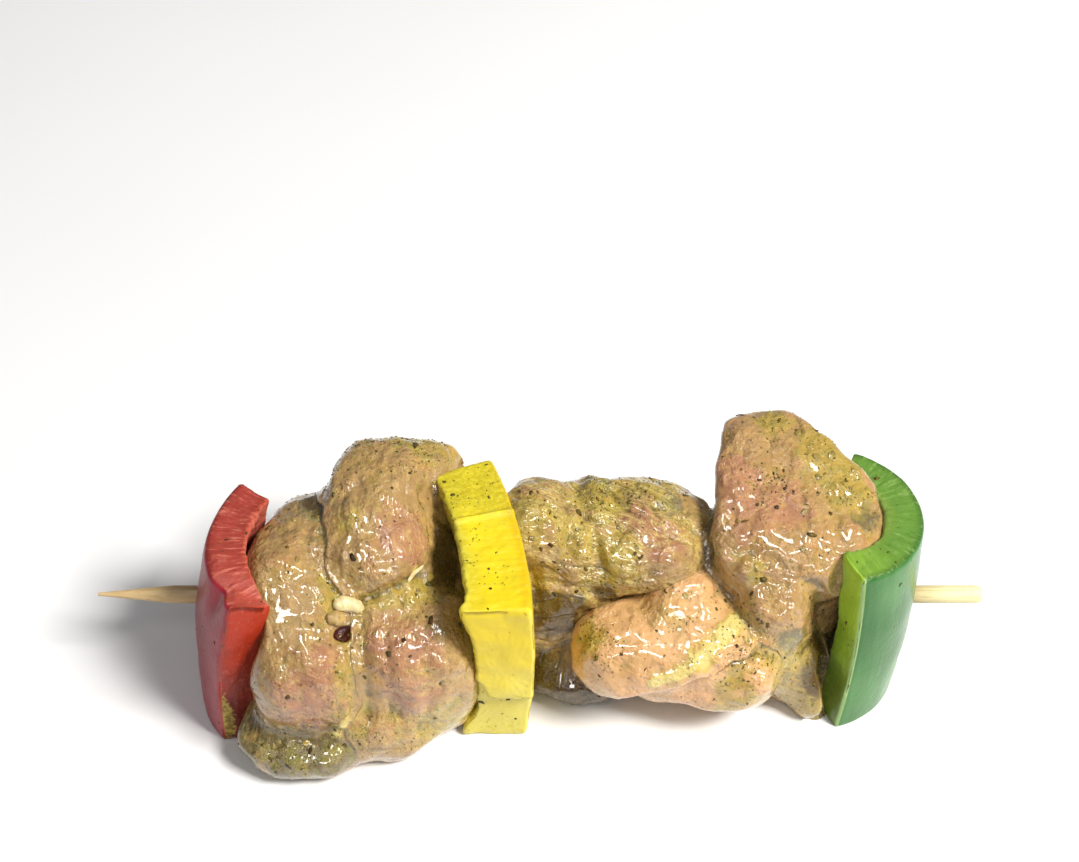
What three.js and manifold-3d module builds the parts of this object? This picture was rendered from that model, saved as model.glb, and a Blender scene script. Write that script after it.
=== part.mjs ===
// A raw marinated chicken kebab on a wooden stick, lying on a table.
// Millimetres, +Z up. The stick runs along X with its point at -X; the table is the plane z = 0.
import * as THREE from "three";
import Module from "manifold-3d";
import { mergeVertices } from "three/addons/utils/BufferGeometryUtils.js";

const wasm = await Module();
wasm.setup();

// ---- Driving dimensions ----------------------------------------------------------------------
const STICK = { length: 180, diameter: 3.6, height: 20, sides: 14 };
const ENDS = { point: 21, tip: 0.5, fullness: 0.62, blunt: 0.6 }; // the stick's point and blunt end
const GAP = 0.3; // the least between pieces that touch
const ROOM = 0.7; // between pieces of meat, and between meat and pepper, before facets eat into it
const MERGE = 1e-4; // vertices closer than this are one
const MEAT = {
  blend: 1.7, // how softly the lobes of a piece run into each other
  detail: 6, // subdivision of the ray directions
  reach: 48, // further than any piece gets from its middle
  step: 0.4, // the shortest step inwards along a ray, and how often the last one is halved
  halvings: 16,
  flat: 0.02, // what is nearer to the table than this lies on it
  roughness: 0.3,
};
const WALL = {
  corner: 1.3, // the rounding of the cut edges
  facet: 3.6, // the size of the facets along the arc, and their number across and up
  across: 3,
  rows: 6,
  roughness: 0.35,
};

// ---- Pepper walls ----------------------------------------------------------------------------
// Each is a piece of a pepper's wall, cut square, that stands on the table. In plan it is an arc
// (centre, radius, middle angle and half spread in degrees). thick is its thickness at the foot
// and at the top, lean is how far it moves in X and Y for each millimetre that it rises, and bow
// is how far its middle bulges outwards.
const PEPPERS = {
  red_pepper: {
    colour: 0xcf2f22,
    centre: [-41.8, -3],
    radius: 22.3,
    middle: 186,
    spread: 41,
    thick: [6.2, 8.2],
    high: 38.5,
    lean: [0.17, 0.11],
    bow: 1.5,
  },
  yellow_pepper: {
    colour: 0xf0dc22,
    centre: [-107.8, -23.5],
    radius: 100,
    middle: 12,
    spread: 11,
    thick: [10.6, 12.4],
    high: 41,
    lean: [0.01, 0.02],
    bow: 1.2,
  },
  green_pepper: {
    colour: 0x6fae35,
    centre: [57, 1.2],
    radius: 14.2,
    middle: -8,
    spread: 77,
    thick: [7.2, 7.8],
    high: 40.5,
    lean: [0.02, 0.14],
    bow: 1,
  },
};

// ---- Pieces of chicken -----------------------------------------------------------------------
// Each is threaded on the stick at x, and is a soft union of lobes. A lobe has its middle, its
// half sizes, its squareness (2 is an ellipsoid, more is boxier), and may have a turn about Z
// and then a tilt about X, in degrees.
const MEATS = {
  chicken_1: {
    colour: 0xb08a5c,
    x: -47,
    lobes: [
      { at: [-47, 0, 20], half: [10, 16, 16], square: 2.4 },
      { at: [-44.5, 5, 28], half: [9.5, 10.5, 9.5], square: 2.6 },
      { at: [-51, -3, 29], half: [7, 11, 9], square: 2.4 },
      { at: [-46, -16, 17], half: [11, 12.5, 14], square: 2.3 },
      { at: [-48, -22.5, 5.5], half: [12.5, 11, 6.5], square: 2.3, turn: -8 },
    ],
  },
  chicken_2: {
    colour: 0xb98f60,
    x: -29,
    lobes: [
      { at: [-30, 2, 19], half: [11, 14, 16], square: 2.3 },
      { at: [-30, 8, 33], half: [12.5, 16, 10.5], square: 2.7 },
      { at: [-25, -14, 17.5], half: [14, 11.5, 13.5], square: 2.4 },
      { at: [-33.5, -19, 7], half: [9.5, 10, 8.5], square: 2.3 },
      { at: [-23, -13, 9], half: [9, 9, 9], square: 2.3 },
    ],
  },
  chicken_3: {
    colour: 0xa98a5a,
    x: 7,
    lobes: [
      { at: [7, 2, 19], half: [13, 14, 17], square: 2.3 },
      { at: [1.5, 4, 32], half: [9, 12, 9], square: 2.3 },
      { at: [19, 6, 28.5], half: [13.5, 13.5, 10.5], square: 2.4 },
      { at: [2, -4, 14], half: [9, 10, 14], square: 2.3 },
      { at: [9, -3, 6], half: [12, 9, 6.5], square: 2.3 },
    ],
  },
  chicken_4: {
    colour: 0xcf9a6b,
    x: 30,
    lobes: [
      { at: [31, 2, 18], half: [8, 12, 12], square: 2.3 },
      { at: [26.5, -12.3, 17], half: [20.5, 10.5, 11], square: 2.3 },
      { at: [31, -5, 24], half: [9, 9, 8], square: 2.3 },
      { at: [39, -13, 16.5], half: [9.5, 9.5, 11], square: 2.3 },
    ],
  },
  chicken_5: {
    colour: 0xc0956a,
    x: 54,
    lobes: [
      { at: [54, 4, 18], half: [10, 13, 17], square: 2.3 },
      { at: [52, 10.5, 35.5], half: [15.5, 17, 9.5], square: 3, turn: -16, tilt: 20 },
      { at: [64, 8, 31], half: [7, 8, 8], square: 2.3 },
      { at: [48, -6, 19], half: [9.5, 9.5, 16], square: 2.3 },
      { at: [55.5, -11.5, 6], half: [7, 9.5, 7.5], square: 2.3, turn: 30 },
    ],
  },
};

// ---- Distance functions ----------------------------------------------------------------------

const toRadians = THREE.MathUtils.degToRad;

// The matrix that takes a point from the kebab's axes to a lobe's own axes and middle.
function toLobe({ at, turn = 0, tilt = 0 }) {
  const placed = new THREE.Matrix4().makeTranslation(...at);
  placed.multiply(new THREE.Matrix4().makeRotationZ(toRadians(turn)));
  placed.multiply(new THREE.Matrix4().makeRotationX(toRadians(tilt)));
  return placed.invert();
}

const LOBES = {};
for (const [name, meat] of Object.entries(MEATS)) {
  LOBES[name] = meat.lobes.map((lobe) => ({ ...lobe, matrix: toLobe(lobe) }));
}

// How far a point is outside a lobe, measured along the line from the lobe's middle.
const local = new THREE.Vector3();
function outsideLobe(point, lobe) {
  local.copy(point).applyMatrix4(lobe.matrix);
  const sum =
    Math.abs(local.x / lobe.half[0]) ** lobe.square +
    Math.abs(local.y / lobe.half[1]) ** lobe.square +
    Math.abs(local.z / lobe.half[2]) ** lobe.square;
  const ratio = Math.max(sum ** (1 / lobe.square), 1e-6);
  return local.length() * (1 - 1 / ratio);
}

// How far a point is outside the soft union of a piece's lobes.
function outsideMeat(point, name) {
  let sum = 0;
  for (const lobe of LOBES[name]) sum += Math.exp(-outsideLobe(point, lobe) / MEAT.blend);
  return -MEAT.blend * Math.log(sum);
}

// A wall's thickness at a height, and how far it has leant and bowed there from its plan.
function wallAt(wall, z) {
  const up = THREE.MathUtils.clamp(z / wall.high, 0, 1);
  const rise = 2 * up - 1;
  const out = wall.bow * (1 - rise * rise);
  const height = up * wall.high - STICK.height;
  const angle = toRadians(wall.middle);
  return {
    thick: THREE.MathUtils.lerp(wall.thick[0], wall.thick[1], up),
    x: wall.centre[0] + wall.lean[0] * height + out * Math.cos(angle),
    y: wall.centre[1] + wall.lean[1] * height + out * Math.sin(angle),
  };
}

// How far a point is outside a pepper's wall: outside its arc in plan, or above or below it.
function outsideWall(point, wall) {
  const here = wallAt(wall, point.z);
  const dx = point.x - here.x;
  const dy = point.y - here.y;
  const middle = toRadians(wall.middle);
  const spread = toRadians(wall.spread);
  const turned = Math.atan2(dy, dx) - middle;
  const angle = Math.atan2(Math.sin(turned), Math.cos(turned));
  const held = middle + THREE.MathUtils.clamp(angle, -spread, spread);
  const away = Math.hypot(dx - wall.radius * Math.cos(held), dy - wall.radius * Math.sin(held));
  return Math.max(away - here.thick / 2, point.z - wall.high, -point.z);
}

// A piece of meat as it is on the stick: pressed by the other pieces, cut back by the pepper
// walls, and flat where it lies on the table.
function outsidePressed(point, name) {
  const own = outsideMeat(point, name);
  let most = Math.max(own, -point.z);
  for (const other of Object.keys(MEATS)) {
    if (other !== name) most = Math.max(most, (own - outsideMeat(point, other) + ROOM) / 2);
  }
  for (const wall of Object.values(PEPPERS)) most = Math.max(most, ROOM - outsideWall(point, wall));
  return most;
}

// ---- Solids ----------------------------------------------------------------------------------

function manifoldOf(geometry) {
  const bare = geometry.clone();
  for (const attribute of ["normal", "uv"]) bare.deleteAttribute(attribute);
  const merged = mergeVertices(bare, MERGE);
  return new wasm.Manifold(
    new wasm.Mesh({
      numProp: 3,
      vertProperties: new Float32Array(merged.attributes.position.array),
      triVerts: new Uint32Array(merged.index.array),
    }),
  );
}

function geometryOf(solid) {
  const mesh = solid.getMesh();
  const geometry = new THREE.BufferGeometry();
  geometry.setAttribute("position", new THREE.BufferAttribute(new Float32Array(mesh.vertProperties), 3));
  geometry.setIndex(new THREE.BufferAttribute(new Uint32Array(mesh.triVerts), 1));
  geometry.computeVertexNormals();
  return geometry;
}

// Turned on a lathe about X: a point at -X, a long straight run and a blunt end.
function stickGeometry(extra = 0) {
  const half = STICK.length / 2;
  const radius = STICK.diameter / 2 + extra;
  const profile = [
    [0, -half - extra],
    [ENDS.tip / 2 + extra, -half - extra],
    [radius * ENDS.fullness, -half + ENDS.point / 2],
    [radius, -half + ENDS.point],
    [radius, half - ENDS.blunt + extra],
    [radius - ENDS.blunt / 2, half + extra],
    [0, half + extra],
  ].map(([r, along]) => new THREE.Vector2(r, along));
  const geometry = new THREE.LatheGeometry(profile, STICK.sides);
  geometry.rotateZ(-Math.PI / 2);
  geometry.translate(0, 0, STICK.height);
  return geometry;
}

// The distance along a ray at which it leaves a piece of meat for the last time.
function leaving(ray, from, name, grow) {
  const point = new THREE.Vector3();
  const outside = (r) => outsidePressed(point.copy(from).addScaledVector(ray, r), name) - grow;
  let near = MEAT.reach;
  let far = MEAT.reach;
  for (let left = outside(near); left > 0 && near > 1; left = outside(near)) {
    far = near;
    near -= Math.max(MEAT.step, left / 2);
  }
  for (let k = 0; k < MEAT.halvings; k += 1) {
    const middle = (near + far) / 2;
    if (outside(middle) > 0) far = middle;
    else near = middle;
  }
  return near;
}

// The surface of a piece of meat, found along rays from its middle on the stick.
function meatGeometry(name, grow = 0) {
  const from = new THREE.Vector3(MEATS[name].x, 0, STICK.height);
  const geometry = new THREE.IcosahedronGeometry(1, MEAT.detail);
  const position = geometry.attributes.position;
  const ray = new THREE.Vector3();
  for (let i = 0; i < position.count; i += 1) {
    ray.fromBufferAttribute(position, i).normalize();
    ray.multiplyScalar(leaving(ray, from, name, grow)).add(from);
    if (grow === 0 && Math.abs(ray.z) < MEAT.flat) ray.z = 0;
    position.setXYZ(i, ray.x, ray.y, ray.z);
  }
  return geometry;
}

// Moves the lines that cut a box's side evenly, so that its outer strips are as wide as its rounding.
function spaced(value, half, parts, inset) {
  return Math.abs(value) > half - MERGE ? value : (value * inset) / (half * (1 - 2 / parts));
}

// A box with rounded edges, its faces cut into a grid, bent and leant into a wall.
function wallGeometry(wall, extra = 0) {
  const arc = 2 * toRadians(wall.spread) * wall.radius;
  const half = [arc, wall.thick[1], wall.high].map((size) => size / 2 + extra);
  const parts = [Math.round(arc / WALL.facet), WALL.across, WALL.rows];
  const geometry = new THREE.BoxGeometry(...half.map((size) => size * 2), ...parts);
  const position = geometry.attributes.position;
  const inset = new THREE.Vector3(...half).subScalar(WALL.corner);
  const point = new THREE.Vector3();
  const core = new THREE.Vector3();
  for (let i = 0; i < position.count; i += 1) {
    point.fromBufferAttribute(position, i);
    for (const [k, axis] of ["x", "y", "z"].entries()) {
      point[axis] = spaced(point[axis], half[k], parts[k], inset[axis]);
    }
    core.copy(point).clamp(inset.clone().negate(), inset);
    point.sub(core);
    if (point.length() > 0) point.setLength(WALL.corner);
    point.add(core);
    const z = wall.high / 2 + point.z;
    const here = wallAt(wall, z);
    const angle = toRadians(wall.middle) - point.x / wall.radius;
    const r = wall.radius + point.y * ((here.thick / 2 + extra) / half[1]);
    position.setXYZ(i, here.x + r * Math.cos(angle), here.y + r * Math.sin(angle), z);
  }
  return geometry;
}

// ---- The kebab -------------------------------------------------------------------------------

const hole = manifoldOf(stickGeometry(GAP));
const kebab = new THREE.Group();

function add(name, geometry, colour, roughness) {
  const material = new THREE.MeshStandardMaterial({ color: colour, roughness, metalness: 0 });
  const mesh = new THREE.Mesh(geometry, material);
  mesh.name = name;
  kebab.add(mesh);
}

add("stick", stickGeometry(), 0xe3c383, 0.7);
const cutters = [hole];
for (const [name, wall] of Object.entries(PEPPERS)) {
  const solid = manifoldOf(wallGeometry(wall)).subtract(hole);
  add(name, geometryOf(solid), wall.colour, WALL.roughness);
  cutters.push(manifoldOf(wallGeometry(wall, GAP)));
}
for (const [name, meat] of Object.entries(MEATS)) {
  const solid = cutters.reduce((left, cutter) => left.subtract(cutter), manifoldOf(meatGeometry(name)));
  add(name, geometryOf(solid), meat.colour, MEAT.roughness);
  cutters.push(manifoldOf(meatGeometry(name, GAP)));
}

// The origin is at the middle of the kebab's box, on the table.
const middle = new THREE.Box3().setFromObject(kebab, true).getCenter(new THREE.Vector3());
kebab.position.set(-middle.x, -middle.y, 0);

export default kebab;
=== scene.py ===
"""The looks of a raw marinated chicken kebab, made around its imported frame.

Lengths in the tables are millimetres, counted from the middle of the stick in X, from the stick's axis in Y
and from the table in Z. Meshes are in metres, in the frame's own axes.
"""

import itertools
import math

import bpy
import numpy as np
from bpy.props import FloatProperty, FloatVectorProperty, IntProperty, PointerProperty
from mathutils import Matrix, Vector


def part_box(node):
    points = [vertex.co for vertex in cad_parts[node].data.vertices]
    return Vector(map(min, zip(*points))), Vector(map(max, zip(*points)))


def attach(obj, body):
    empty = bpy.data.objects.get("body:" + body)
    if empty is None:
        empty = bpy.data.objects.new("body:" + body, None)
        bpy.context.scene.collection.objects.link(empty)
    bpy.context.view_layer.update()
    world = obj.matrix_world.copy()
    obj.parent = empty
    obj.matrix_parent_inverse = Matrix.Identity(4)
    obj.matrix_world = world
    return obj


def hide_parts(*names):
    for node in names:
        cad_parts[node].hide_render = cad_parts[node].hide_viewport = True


bl_info = {
    "name": "Chicken kebab",
    "version": (1, 0, 0),
    "blender": (4, 5, 0),
    "location": "3D Viewport > Sidebar > Kebab",
    "description": "Makes a raw marinated chicken kebab on a wooden stick, with its stage",
    "category": "Add Mesh",
}

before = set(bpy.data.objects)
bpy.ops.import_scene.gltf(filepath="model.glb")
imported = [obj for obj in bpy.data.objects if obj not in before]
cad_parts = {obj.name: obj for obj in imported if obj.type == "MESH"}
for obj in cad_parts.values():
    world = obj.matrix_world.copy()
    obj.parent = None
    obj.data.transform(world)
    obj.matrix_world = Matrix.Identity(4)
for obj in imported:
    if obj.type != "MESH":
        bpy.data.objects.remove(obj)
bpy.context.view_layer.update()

MM = 0.001
STICK_LOW, STICK_HIGH = (np.array(corner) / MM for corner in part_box("stick"))
STICK_MIDDLE = (STICK_LOW + STICK_HIGH) / 2
ORIGIN = np.array([STICK_MIDDLE[0], STICK_MIDDLE[1], 0.0])
STICK_Z = STICK_MIDDLE[2]
DETAIL = 1.0

# ---- Pepper walls ------------------------------------------------------------------------------------
# In plan a wall is an arc: its centre, radius, middle angle and half spread in degrees. thick is at the
# foot and at the top, lean is the way it moves for each millimetre up, and bow is how far it bulges.
WALLS = {
    "red_pepper": dict(centre=(-41.8, -3.0), radius=22.3, middle=186, spread=41, thick=(6.2, 8.2),
                       high=38.5, lean=(0.17, 0.11), bow=1.5),
    "yellow_pepper": dict(centre=(-107.8, -23.5), radius=100, middle=12, spread=11, thick=(10.6, 12.4),
                          high=41, lean=(0.01, 0.02), bow=1.2),
    "green_pepper": dict(centre=(57, 1.2), radius=14.2, middle=-8, spread=77, thick=(7.2, 7.8),
                         high=40.5, lean=(0.02, 0.14), bow=1.0),
}

# ---- Pieces of chicken -------------------------------------------------------------------------------
# x is where the piece is threaded, blend how softly its lobes run together, grain the way of its fibres,
# fibres how much they show and pale how light the flesh is. touches has each neighbour that it is pressed
# against, with how softly their surfaces run together: 0 is a sharp border.
# A lobe is (middle, half sizes, squareness), with a turn about Z and a tilt about X if it has them. A cut
# is (point, way out) of a plane that trims the piece. A spot is (its middle or the points of a line,
# radius), and is thin skin, pooled marinade, fat, pinker flesh, painted shade where a recess or an overhang
# lies in shadow, or sunk blood. A crease is (points, depth, width, step), where step is how far the side
# below it is sunk.
MEATS = {
    "chicken_1": dict(
        x=-47, blend=1.6, grain=(0.45, -0.75, -0.5), fibres=0.12, pale=0.0,
        touches={"chicken_2": 2.6, "red_pepper": 0},
        lobes=(
            ((-47, 0, 20), (10, 16, 16), 2.4),
            ((-44.5, 5, 28), (9.5, 10.5, 9.5), 2.6),
            ((-51, -3, 29), (7, 11, 9), 2.4),
            ((-48, -8.5, 23.5), (10, 11, 11.5), 2.4),
            ((-46, -16, 17), (11, 12.5, 14), 2.5),
            ((-48, -22.5, 5.5), (12.5, 11, 6.5), 2.3, -8, 0),
        ),
        spots={
            "membrane": (
                (((-45, 8.5, 37.6), (-41.3, 0.6, 36.1), (-39.5, -7, 31)), 4.5), ((-48.6, -31, 7), 8.5),
                ((-57, -27, 5), 7), ((-41, -30, 7), 6),
            ),
            "cream": ((((-39.5, -29, 12.5), (-37.4, -26.5, 15.5)), 1.5),),
            "pink": (((-43.5, -27, 21), 8), ((-40, -22.2, 27.5), 4)),
            "marinade": (
                ((-40.5, -10, 31), 5), ((-41, -30, 8), 2.5), ((-41, 4, 34), 4.5), ((-53, -14, 27), 4),
                (((-37.6, -20, 27), (-39, -26, 18)), 4),
            ),
            "blood": (((-37.8, -17, 29.2), 2.1),),
            "painted_shade": (((-43.5, 9, 38), 4.5), ((-40, -8, 32), 2.5)),
        },
        creases=(
            (((-60, -21, 10.5), (-52, -29, 11.5), (-46, -30, 11.5), (-40, -27, 13.5)), 0.7, 1.1, 0.9),
            (((-42.5, 8, 38), (-41, 0, 36), (-40, -8, 32)), 0.8, 1.6, 0),
            (((-41, -12, 31), (-43, -19, 28), (-47, -25, 21)), 0.35, 1.6, 0),
            (((-37.6, -19, 28), (-37.8, -24, 22), (-38, -28, 14)), -0.5, 1.2, 0),
        ),
    ),
    "chicken_2": dict(
        x=-29, blend=1.9, grain=(0.12, -0.9, -0.4), fibres=0.2, pale=0.06,
        touches={"chicken_1": 2.6, "yellow_pepper": 0},
        lobes=(
            ((-30, 2, 19), (11, 14, 16), 2.3),
            ((-32.5, 8.5, 33.5), (9.6, 16, 10), 3, 0, 12),
            ((-27, 18, 34), (12.5, 7.5, 8.5), 2.6),
            ((-31.5, -1.5, 28), (8.5, 9.5, 9), 2.4),
            ((-21, -1, 14), (6.5, 9, 12), 2.4),
            ((-22, 7, 24), (7, 9, 10), 2.4),
            ((-25, -14, 17.5), (14, 11.5, 13.5), 2.5),
            ((-22.5, -9.5, 21.5), (7.5, 8, 8.5), 2.3),
            ((-31, -19, 7.5), (10.5, 10, 8.5), 2.4),
            ((-22.5, -14, 9), (9, 9, 9), 2.3),
        ),
        spots={
            "marinade": (
                (((-33, -11, 30), (-27, -10, 32), (-22, -9, 32)), 3), ((-36, -19, 24), 4.5),
                ((-22.4, 18.8, 38), 6), ((-26, 22, 41.2), 6), (((-36, -22, 20), (-36, -27, 8)), 3),
                (((-18, -20, 15), (-20, -24, 9)), 5.5), ((-17, -14, 22), 4), ((-37, 2, 40), 3),
                (((-37, -18, 26), (-37, -25, 16)), 3.5),
            ),
            "pink": (
                ((-26.6, -20.8, 28), 7), ((-26, -2, 41), 6), ((-25, -25, 20), 5), ((-31, -2, 36), 5),
            ),
            "cream": ((((-26, -7.5, 34), (-23, -6, 35.5)), 0.9),),
            "painted_shade": ((((-20, 4, 32), (-19, -4, 30)), 5),),
        },
        creases=(
            (((-39, -9, 27), (-34, -9, 30), (-28, -8.5, 33), (-22, -6, 35)), 1.6, 1.3, 0),
            (((-37.2, -19, 28), (-37.4, -24, 22), (-37.6, -28, 14)), -0.5, 1.2, 0),
            (((-33.5, -13, 29), (-33, -21, 24), (-33.5, -27, 13)), 0.5, 1.4, 0),
            (((-26, -14, 30), (-22, -21, 26), (-21.5, -25, 18), (-24, -26, 10)), 0.5, 1.3, 0),
            (((-30, -15, 29), (-28, -22, 25), (-29, -27, 15)), 0.35, 1.2, 0),
        ),
    ),
    "chicken_3": dict(
        x=7, blend=1.1, grain=(0.9, -0.4, 0.1), fibres=0.45, pale=0.0,
        touches={"chicken_4": 0, "chicken_5": 1.5, "yellow_pepper": 0},
        lobes=(
            ((7, 5, 19), (13, 12, 16), 2.3),
            ((-0.3, 7, 34.5), (7.6, 9.5, 7.5), 2.4),
            ((20.8, 6.5, 29.2), (14, 13.5, 10), 2.5, -14, 0),
            ((9.5, 8, 31), (8, 11, 9), 2.3),
            ((1.5, 0.5, 13), (8.5, 8.5, 12), 2.3),
            ((8, -5, 5.5), (11.5, 10.5, 6), 2.3),
        ),
        spots={
            "marinade": (
                ((12, 9.2, 38), 6), ((6, 0, 38), 4.5), ((15, -3, 37), 5), ((-2, 2, 40), 5),
                ((24, 14, 38), 5), (((8, -9, 28), (14, -8, 29)), 3.5), ((-5, -5, 28), 4),
            ),
            "pink": ((((19.8, 3.4, 38.9), (24, -2, 36)), 4.5), ((2, -10, 28), 5)),
            "membrane": (((2.1, -12, 8), 7), ((9, -10, 4), 9), ((26, 8, 38), 4), ((12, 14, 38), 4)),
            "painted_shade": (
                (((0, -9, 24), (8, -11, 20)), 6), ((13, -6, 27), 3), (((0, -14, 6), (9, -15, 3)), 9),
                ((3, -8, 22), 7),
            ),
        },
        creases=(
            (((8, 14, 38), (9, 6, 38.5), (11, -3, 36), (13, -8, 31)), 0.9, 1.4, 0),
            (((-8, 3, 31), (-3, -3, 29.5), (4, -4, 30)), 1.0, 1.8, 0.8),
            (((14, 12, 39), (18, 6, 39), (25, 0, 36)), 0.8, 1.2, 0),
            (((17, 14, 39), (23, 7, 38.5), (29, 3, 34)), 0.6, 1.0, 0),
        ),
    ),
    "chicken_4": dict(
        x=30, blend=1.5, grain=(0.95, -0.25, -0.15), fibres=0.05, pale=0.85,
        touches={"chicken_3": 0, "chicken_5": 0.5},
        lobes=(
            ((30.5, 2.5, 18.5), (8, 11, 11), 2.3),
            ((26.5, -12.3, 17.4), (20.5, 10.5, 10.4), 2.4),
            ((29, -5, 24), (8, 8, 7.5), 2.3),
            ((38.5, -13, 16), (9.5, 9.5, 10.5), 2.4),
            ((33, 7, 27.5), (5.5, 6, 7), 2.3),
        ),
        spots={
            "marinade": (
                ((11, -13, 22), 4), (((44, -12, 26), (45, -17, 18)), 6), ((41, -9, 29), 3.5),
                ((14, -20, 14), 3), (((46, -12, 24), (43, -17, 20), (37, -20.5, 18)), 4.5),
                (((47.5, -15, 19), (44, -20, 14), (38, -22.5, 12)), 5), ((10.8, -14.8, 24), 3),
            ),
            "painted_shade": (((33.5, 6, 32), 5),),
            "cream": (
                (((40.5, -10, 31), (38, -13.8, 28.5), (34.5, -17.8, 27), (31, -20, 25.4)), 2.9),
                (((31, -20, 25.4), (27, -22, 22.8), (22, -22.5, 20.5)), 1.6),
            ),
            "pink": (((29, -4.4, 32), 4.5), ((20, -22, 17), 5), ((30, -23, 14), 5)),
        },
        creases=(
            (((46, -8, 25), (42, -13.5, 25.5), (38.5, -17.6, 24.4), (33, -21, 21.6), (25, -22.8, 17.4),
              (17, -22, 14.4)), 0.8, 0.8, 2.2),
            (((20, -4, 27), (27, -9, 29.5), (35, -8, 30)), 0.6, 1.4, 0),
        ),
    ),
    "chicken_5": dict(
        x=54, blend=1.0, grain=(0.5, -0.75, -0.4), fibres=0.07, pale=0.14,
        touches={"chicken_3": 1.5, "chicken_4": 0.5, "green_pepper": 0},
        lobes=(
            ((54, 5.5, 18), (10, 12, 17), 2.3),
            ((50, 10.5, 35.5), (18, 20, 9.5), 3.5, 0, 14),
            ((62, 3, 33), (7, 9, 7.5), 2.4),
            ((46.5, -6.5, 20), (8.3, 9.5, 16), 2.5),
            ((51, -8.5, 10), (6, 7, 10), 2.3),
            ((55, -9, 5), (6, 9.5, 9), 2.2, 20, -18),
        ),
        cuts=(
            ((35, 10.5, 42), (-0.96, 0.18, -0.12)), ((58, 20.2, 42), (0.74, 0.62, 0.2)),
            ((46, 29.3, 42), (-0.25, 0.95, 0.1)),
        ),
        spots={
            "marinade": (
                (((55, 17, 45), (61, 6, 44)), 5.5), ((48, 23, 46), 4.5), ((55.5, -14, 6), 6),
                ((42, -6.5, 36), 3), (((52, -15, 16), (56, -18, 3)), 8),
            ),
            "pink": ((((39, 10, 43), (41, 2, 42)), 5.5), ((47, 4, 42), 6)),
            "membrane": (((49, -14, 24), 4), ((63, 2, 40), 4)),
            "painted_shade": (((60, -4, 30), 4), (((58, -11, 24), (57, -14, 12)), 5), ((37, 2, 32), 4)),
        },
        creases=(
            (((34, -1, 36), (41, -4, 36.5), (47, -6, 36), (56, -6, 33)), 0.9, 1.2, 0.5),
            (((47, -9, 33), (51, -12, 28), (53, -14, 20)), 0.4, 1.3, 0),
        ),
    ),
}

CUT_EDGE = 0.7
SPOT_KINDS = ("membrane", "marinade", "cream", "pink", "painted_shade", "blood")
SOFTEST_SEAM = 2

# Where herbs lie thickest: (middle, radius, share).
HERB_PATCHES = (
    ((10.8, -14.8, 24.7), 2.2, 40), ((29.6, -20.3, 24.9), 0.7, 90), ((4.2, -2.8, 32.6), 0.9, 90),
    ((2.6, -1.4, 38.1), 1, 20), ((-17.5, 6, 41), 2.5, 16),
    ((-12.5, -3, 41), 2, 16), ((-22, 18, 39), 4, 20), ((45, 9, 42), 4, 18), ((42, -12, 30), 3, 12),
    ((-48, -30, 8), 6, 16), ((-33, -27, 10), 4, 10), ((41, -16, 24), 5, 18), ((14, 10, 38), 5, 14),
    ((-64.5, -20.5, 10), 1.5, 3), ((-8.5, -21.6, 6), 4, 6), ((-33, 20, 42), 5, 18),
)


# ---- Settings ----------------------------------------------------------------------------------------


def shown(red, green, blue):
    """The linear colour that a screen shows as these three numbers out of 255."""
    levels = np.array([red, green, blue]) / 255
    linear = np.where(levels <= 0.04045, levels / 12.92, ((levels + 0.055) / 1.055) ** 2.4)
    return tuple(float(v) for v in linear)


def colour_property(name, description, red, green, blue):
    return FloatVectorProperty(name=name, description=description, subtype="COLOR", size=3, min=0, max=1,
                               default=shown(red, green, blue))


class KebabMeatSettings(bpy.types.PropertyGroup):
    flesh: colour_property("Flesh", "Colour of the meat itself", 162, 130, 82)
    warm: colour_property("Warm flesh", "Colour of the meat where it is pink", 166, 116, 84)
    marinade: colour_property("Marinade", "Colour of the oil and spice that covers the meat", 174, 150, 56)
    membrane: colour_property("Membrane", "Colour of the thin skin on some pieces", 104, 94, 62)
    cream: colour_property("Fat", "Colour of the fat", 200, 174, 86)
    around: IntProperty(name="Cuts around", description="Quads around a piece", default=400, min=60,
                        max=420)
    along: IntProperty(name="Cuts along", description="Quads along a piece", default=230, min=40, max=235)
    lumps: FloatProperty(name="Lumps", description="Height of the meat's lumps, in millimetres",
                         default=0.8, min=0, max=2)
    furrows: FloatProperty(name="Furrows", description="Depth of the furrows between fibres, in mm",
                           default=0.3, min=0, max=2)


class KebabPepperSettings(bpy.types.PropertyGroup):
    red: colour_property("Red", "Colour of the red pepper's cut wall", 156, 60, 50)
    yellow: colour_property("Yellow", "Colour of the yellow pepper's cut wall", 224, 202, 28)
    green: colour_property("Green", "Colour of the green pepper's cut wall", 94, 134, 50)
    corner: FloatProperty(name="Edge", description="Rounding of the cut edges, in millimetres", default=0.9,
                          min=0.2, max=2)
    step: FloatProperty(name="Quad", description="Size of a quad, in millimetres", default=0.32, min=0.2,
                        max=2)


class KebabStickSettings(bpy.types.PropertyGroup):
    wood: colour_property("Wood", "Colour of the stick", 206, 178, 128)
    point: FloatProperty(name="Point", description="Length of the point, in millimetres", default=21, min=5,
                         max=60)


class KebabGarnishSettings(bpy.types.PropertyGroup):
    herbs: IntProperty(name="Herbs", description="Number of herb flakes", default=560, min=0, max=8000)
    crumbs: IntProperty(name="Crumbs", description="Number of crumbs of herb", default=4200, min=0,
                        max=9000)
    drops: IntProperty(name="Drops", description="Number of drops of marinade", default=140, min=0,
                       max=2000)


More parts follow.
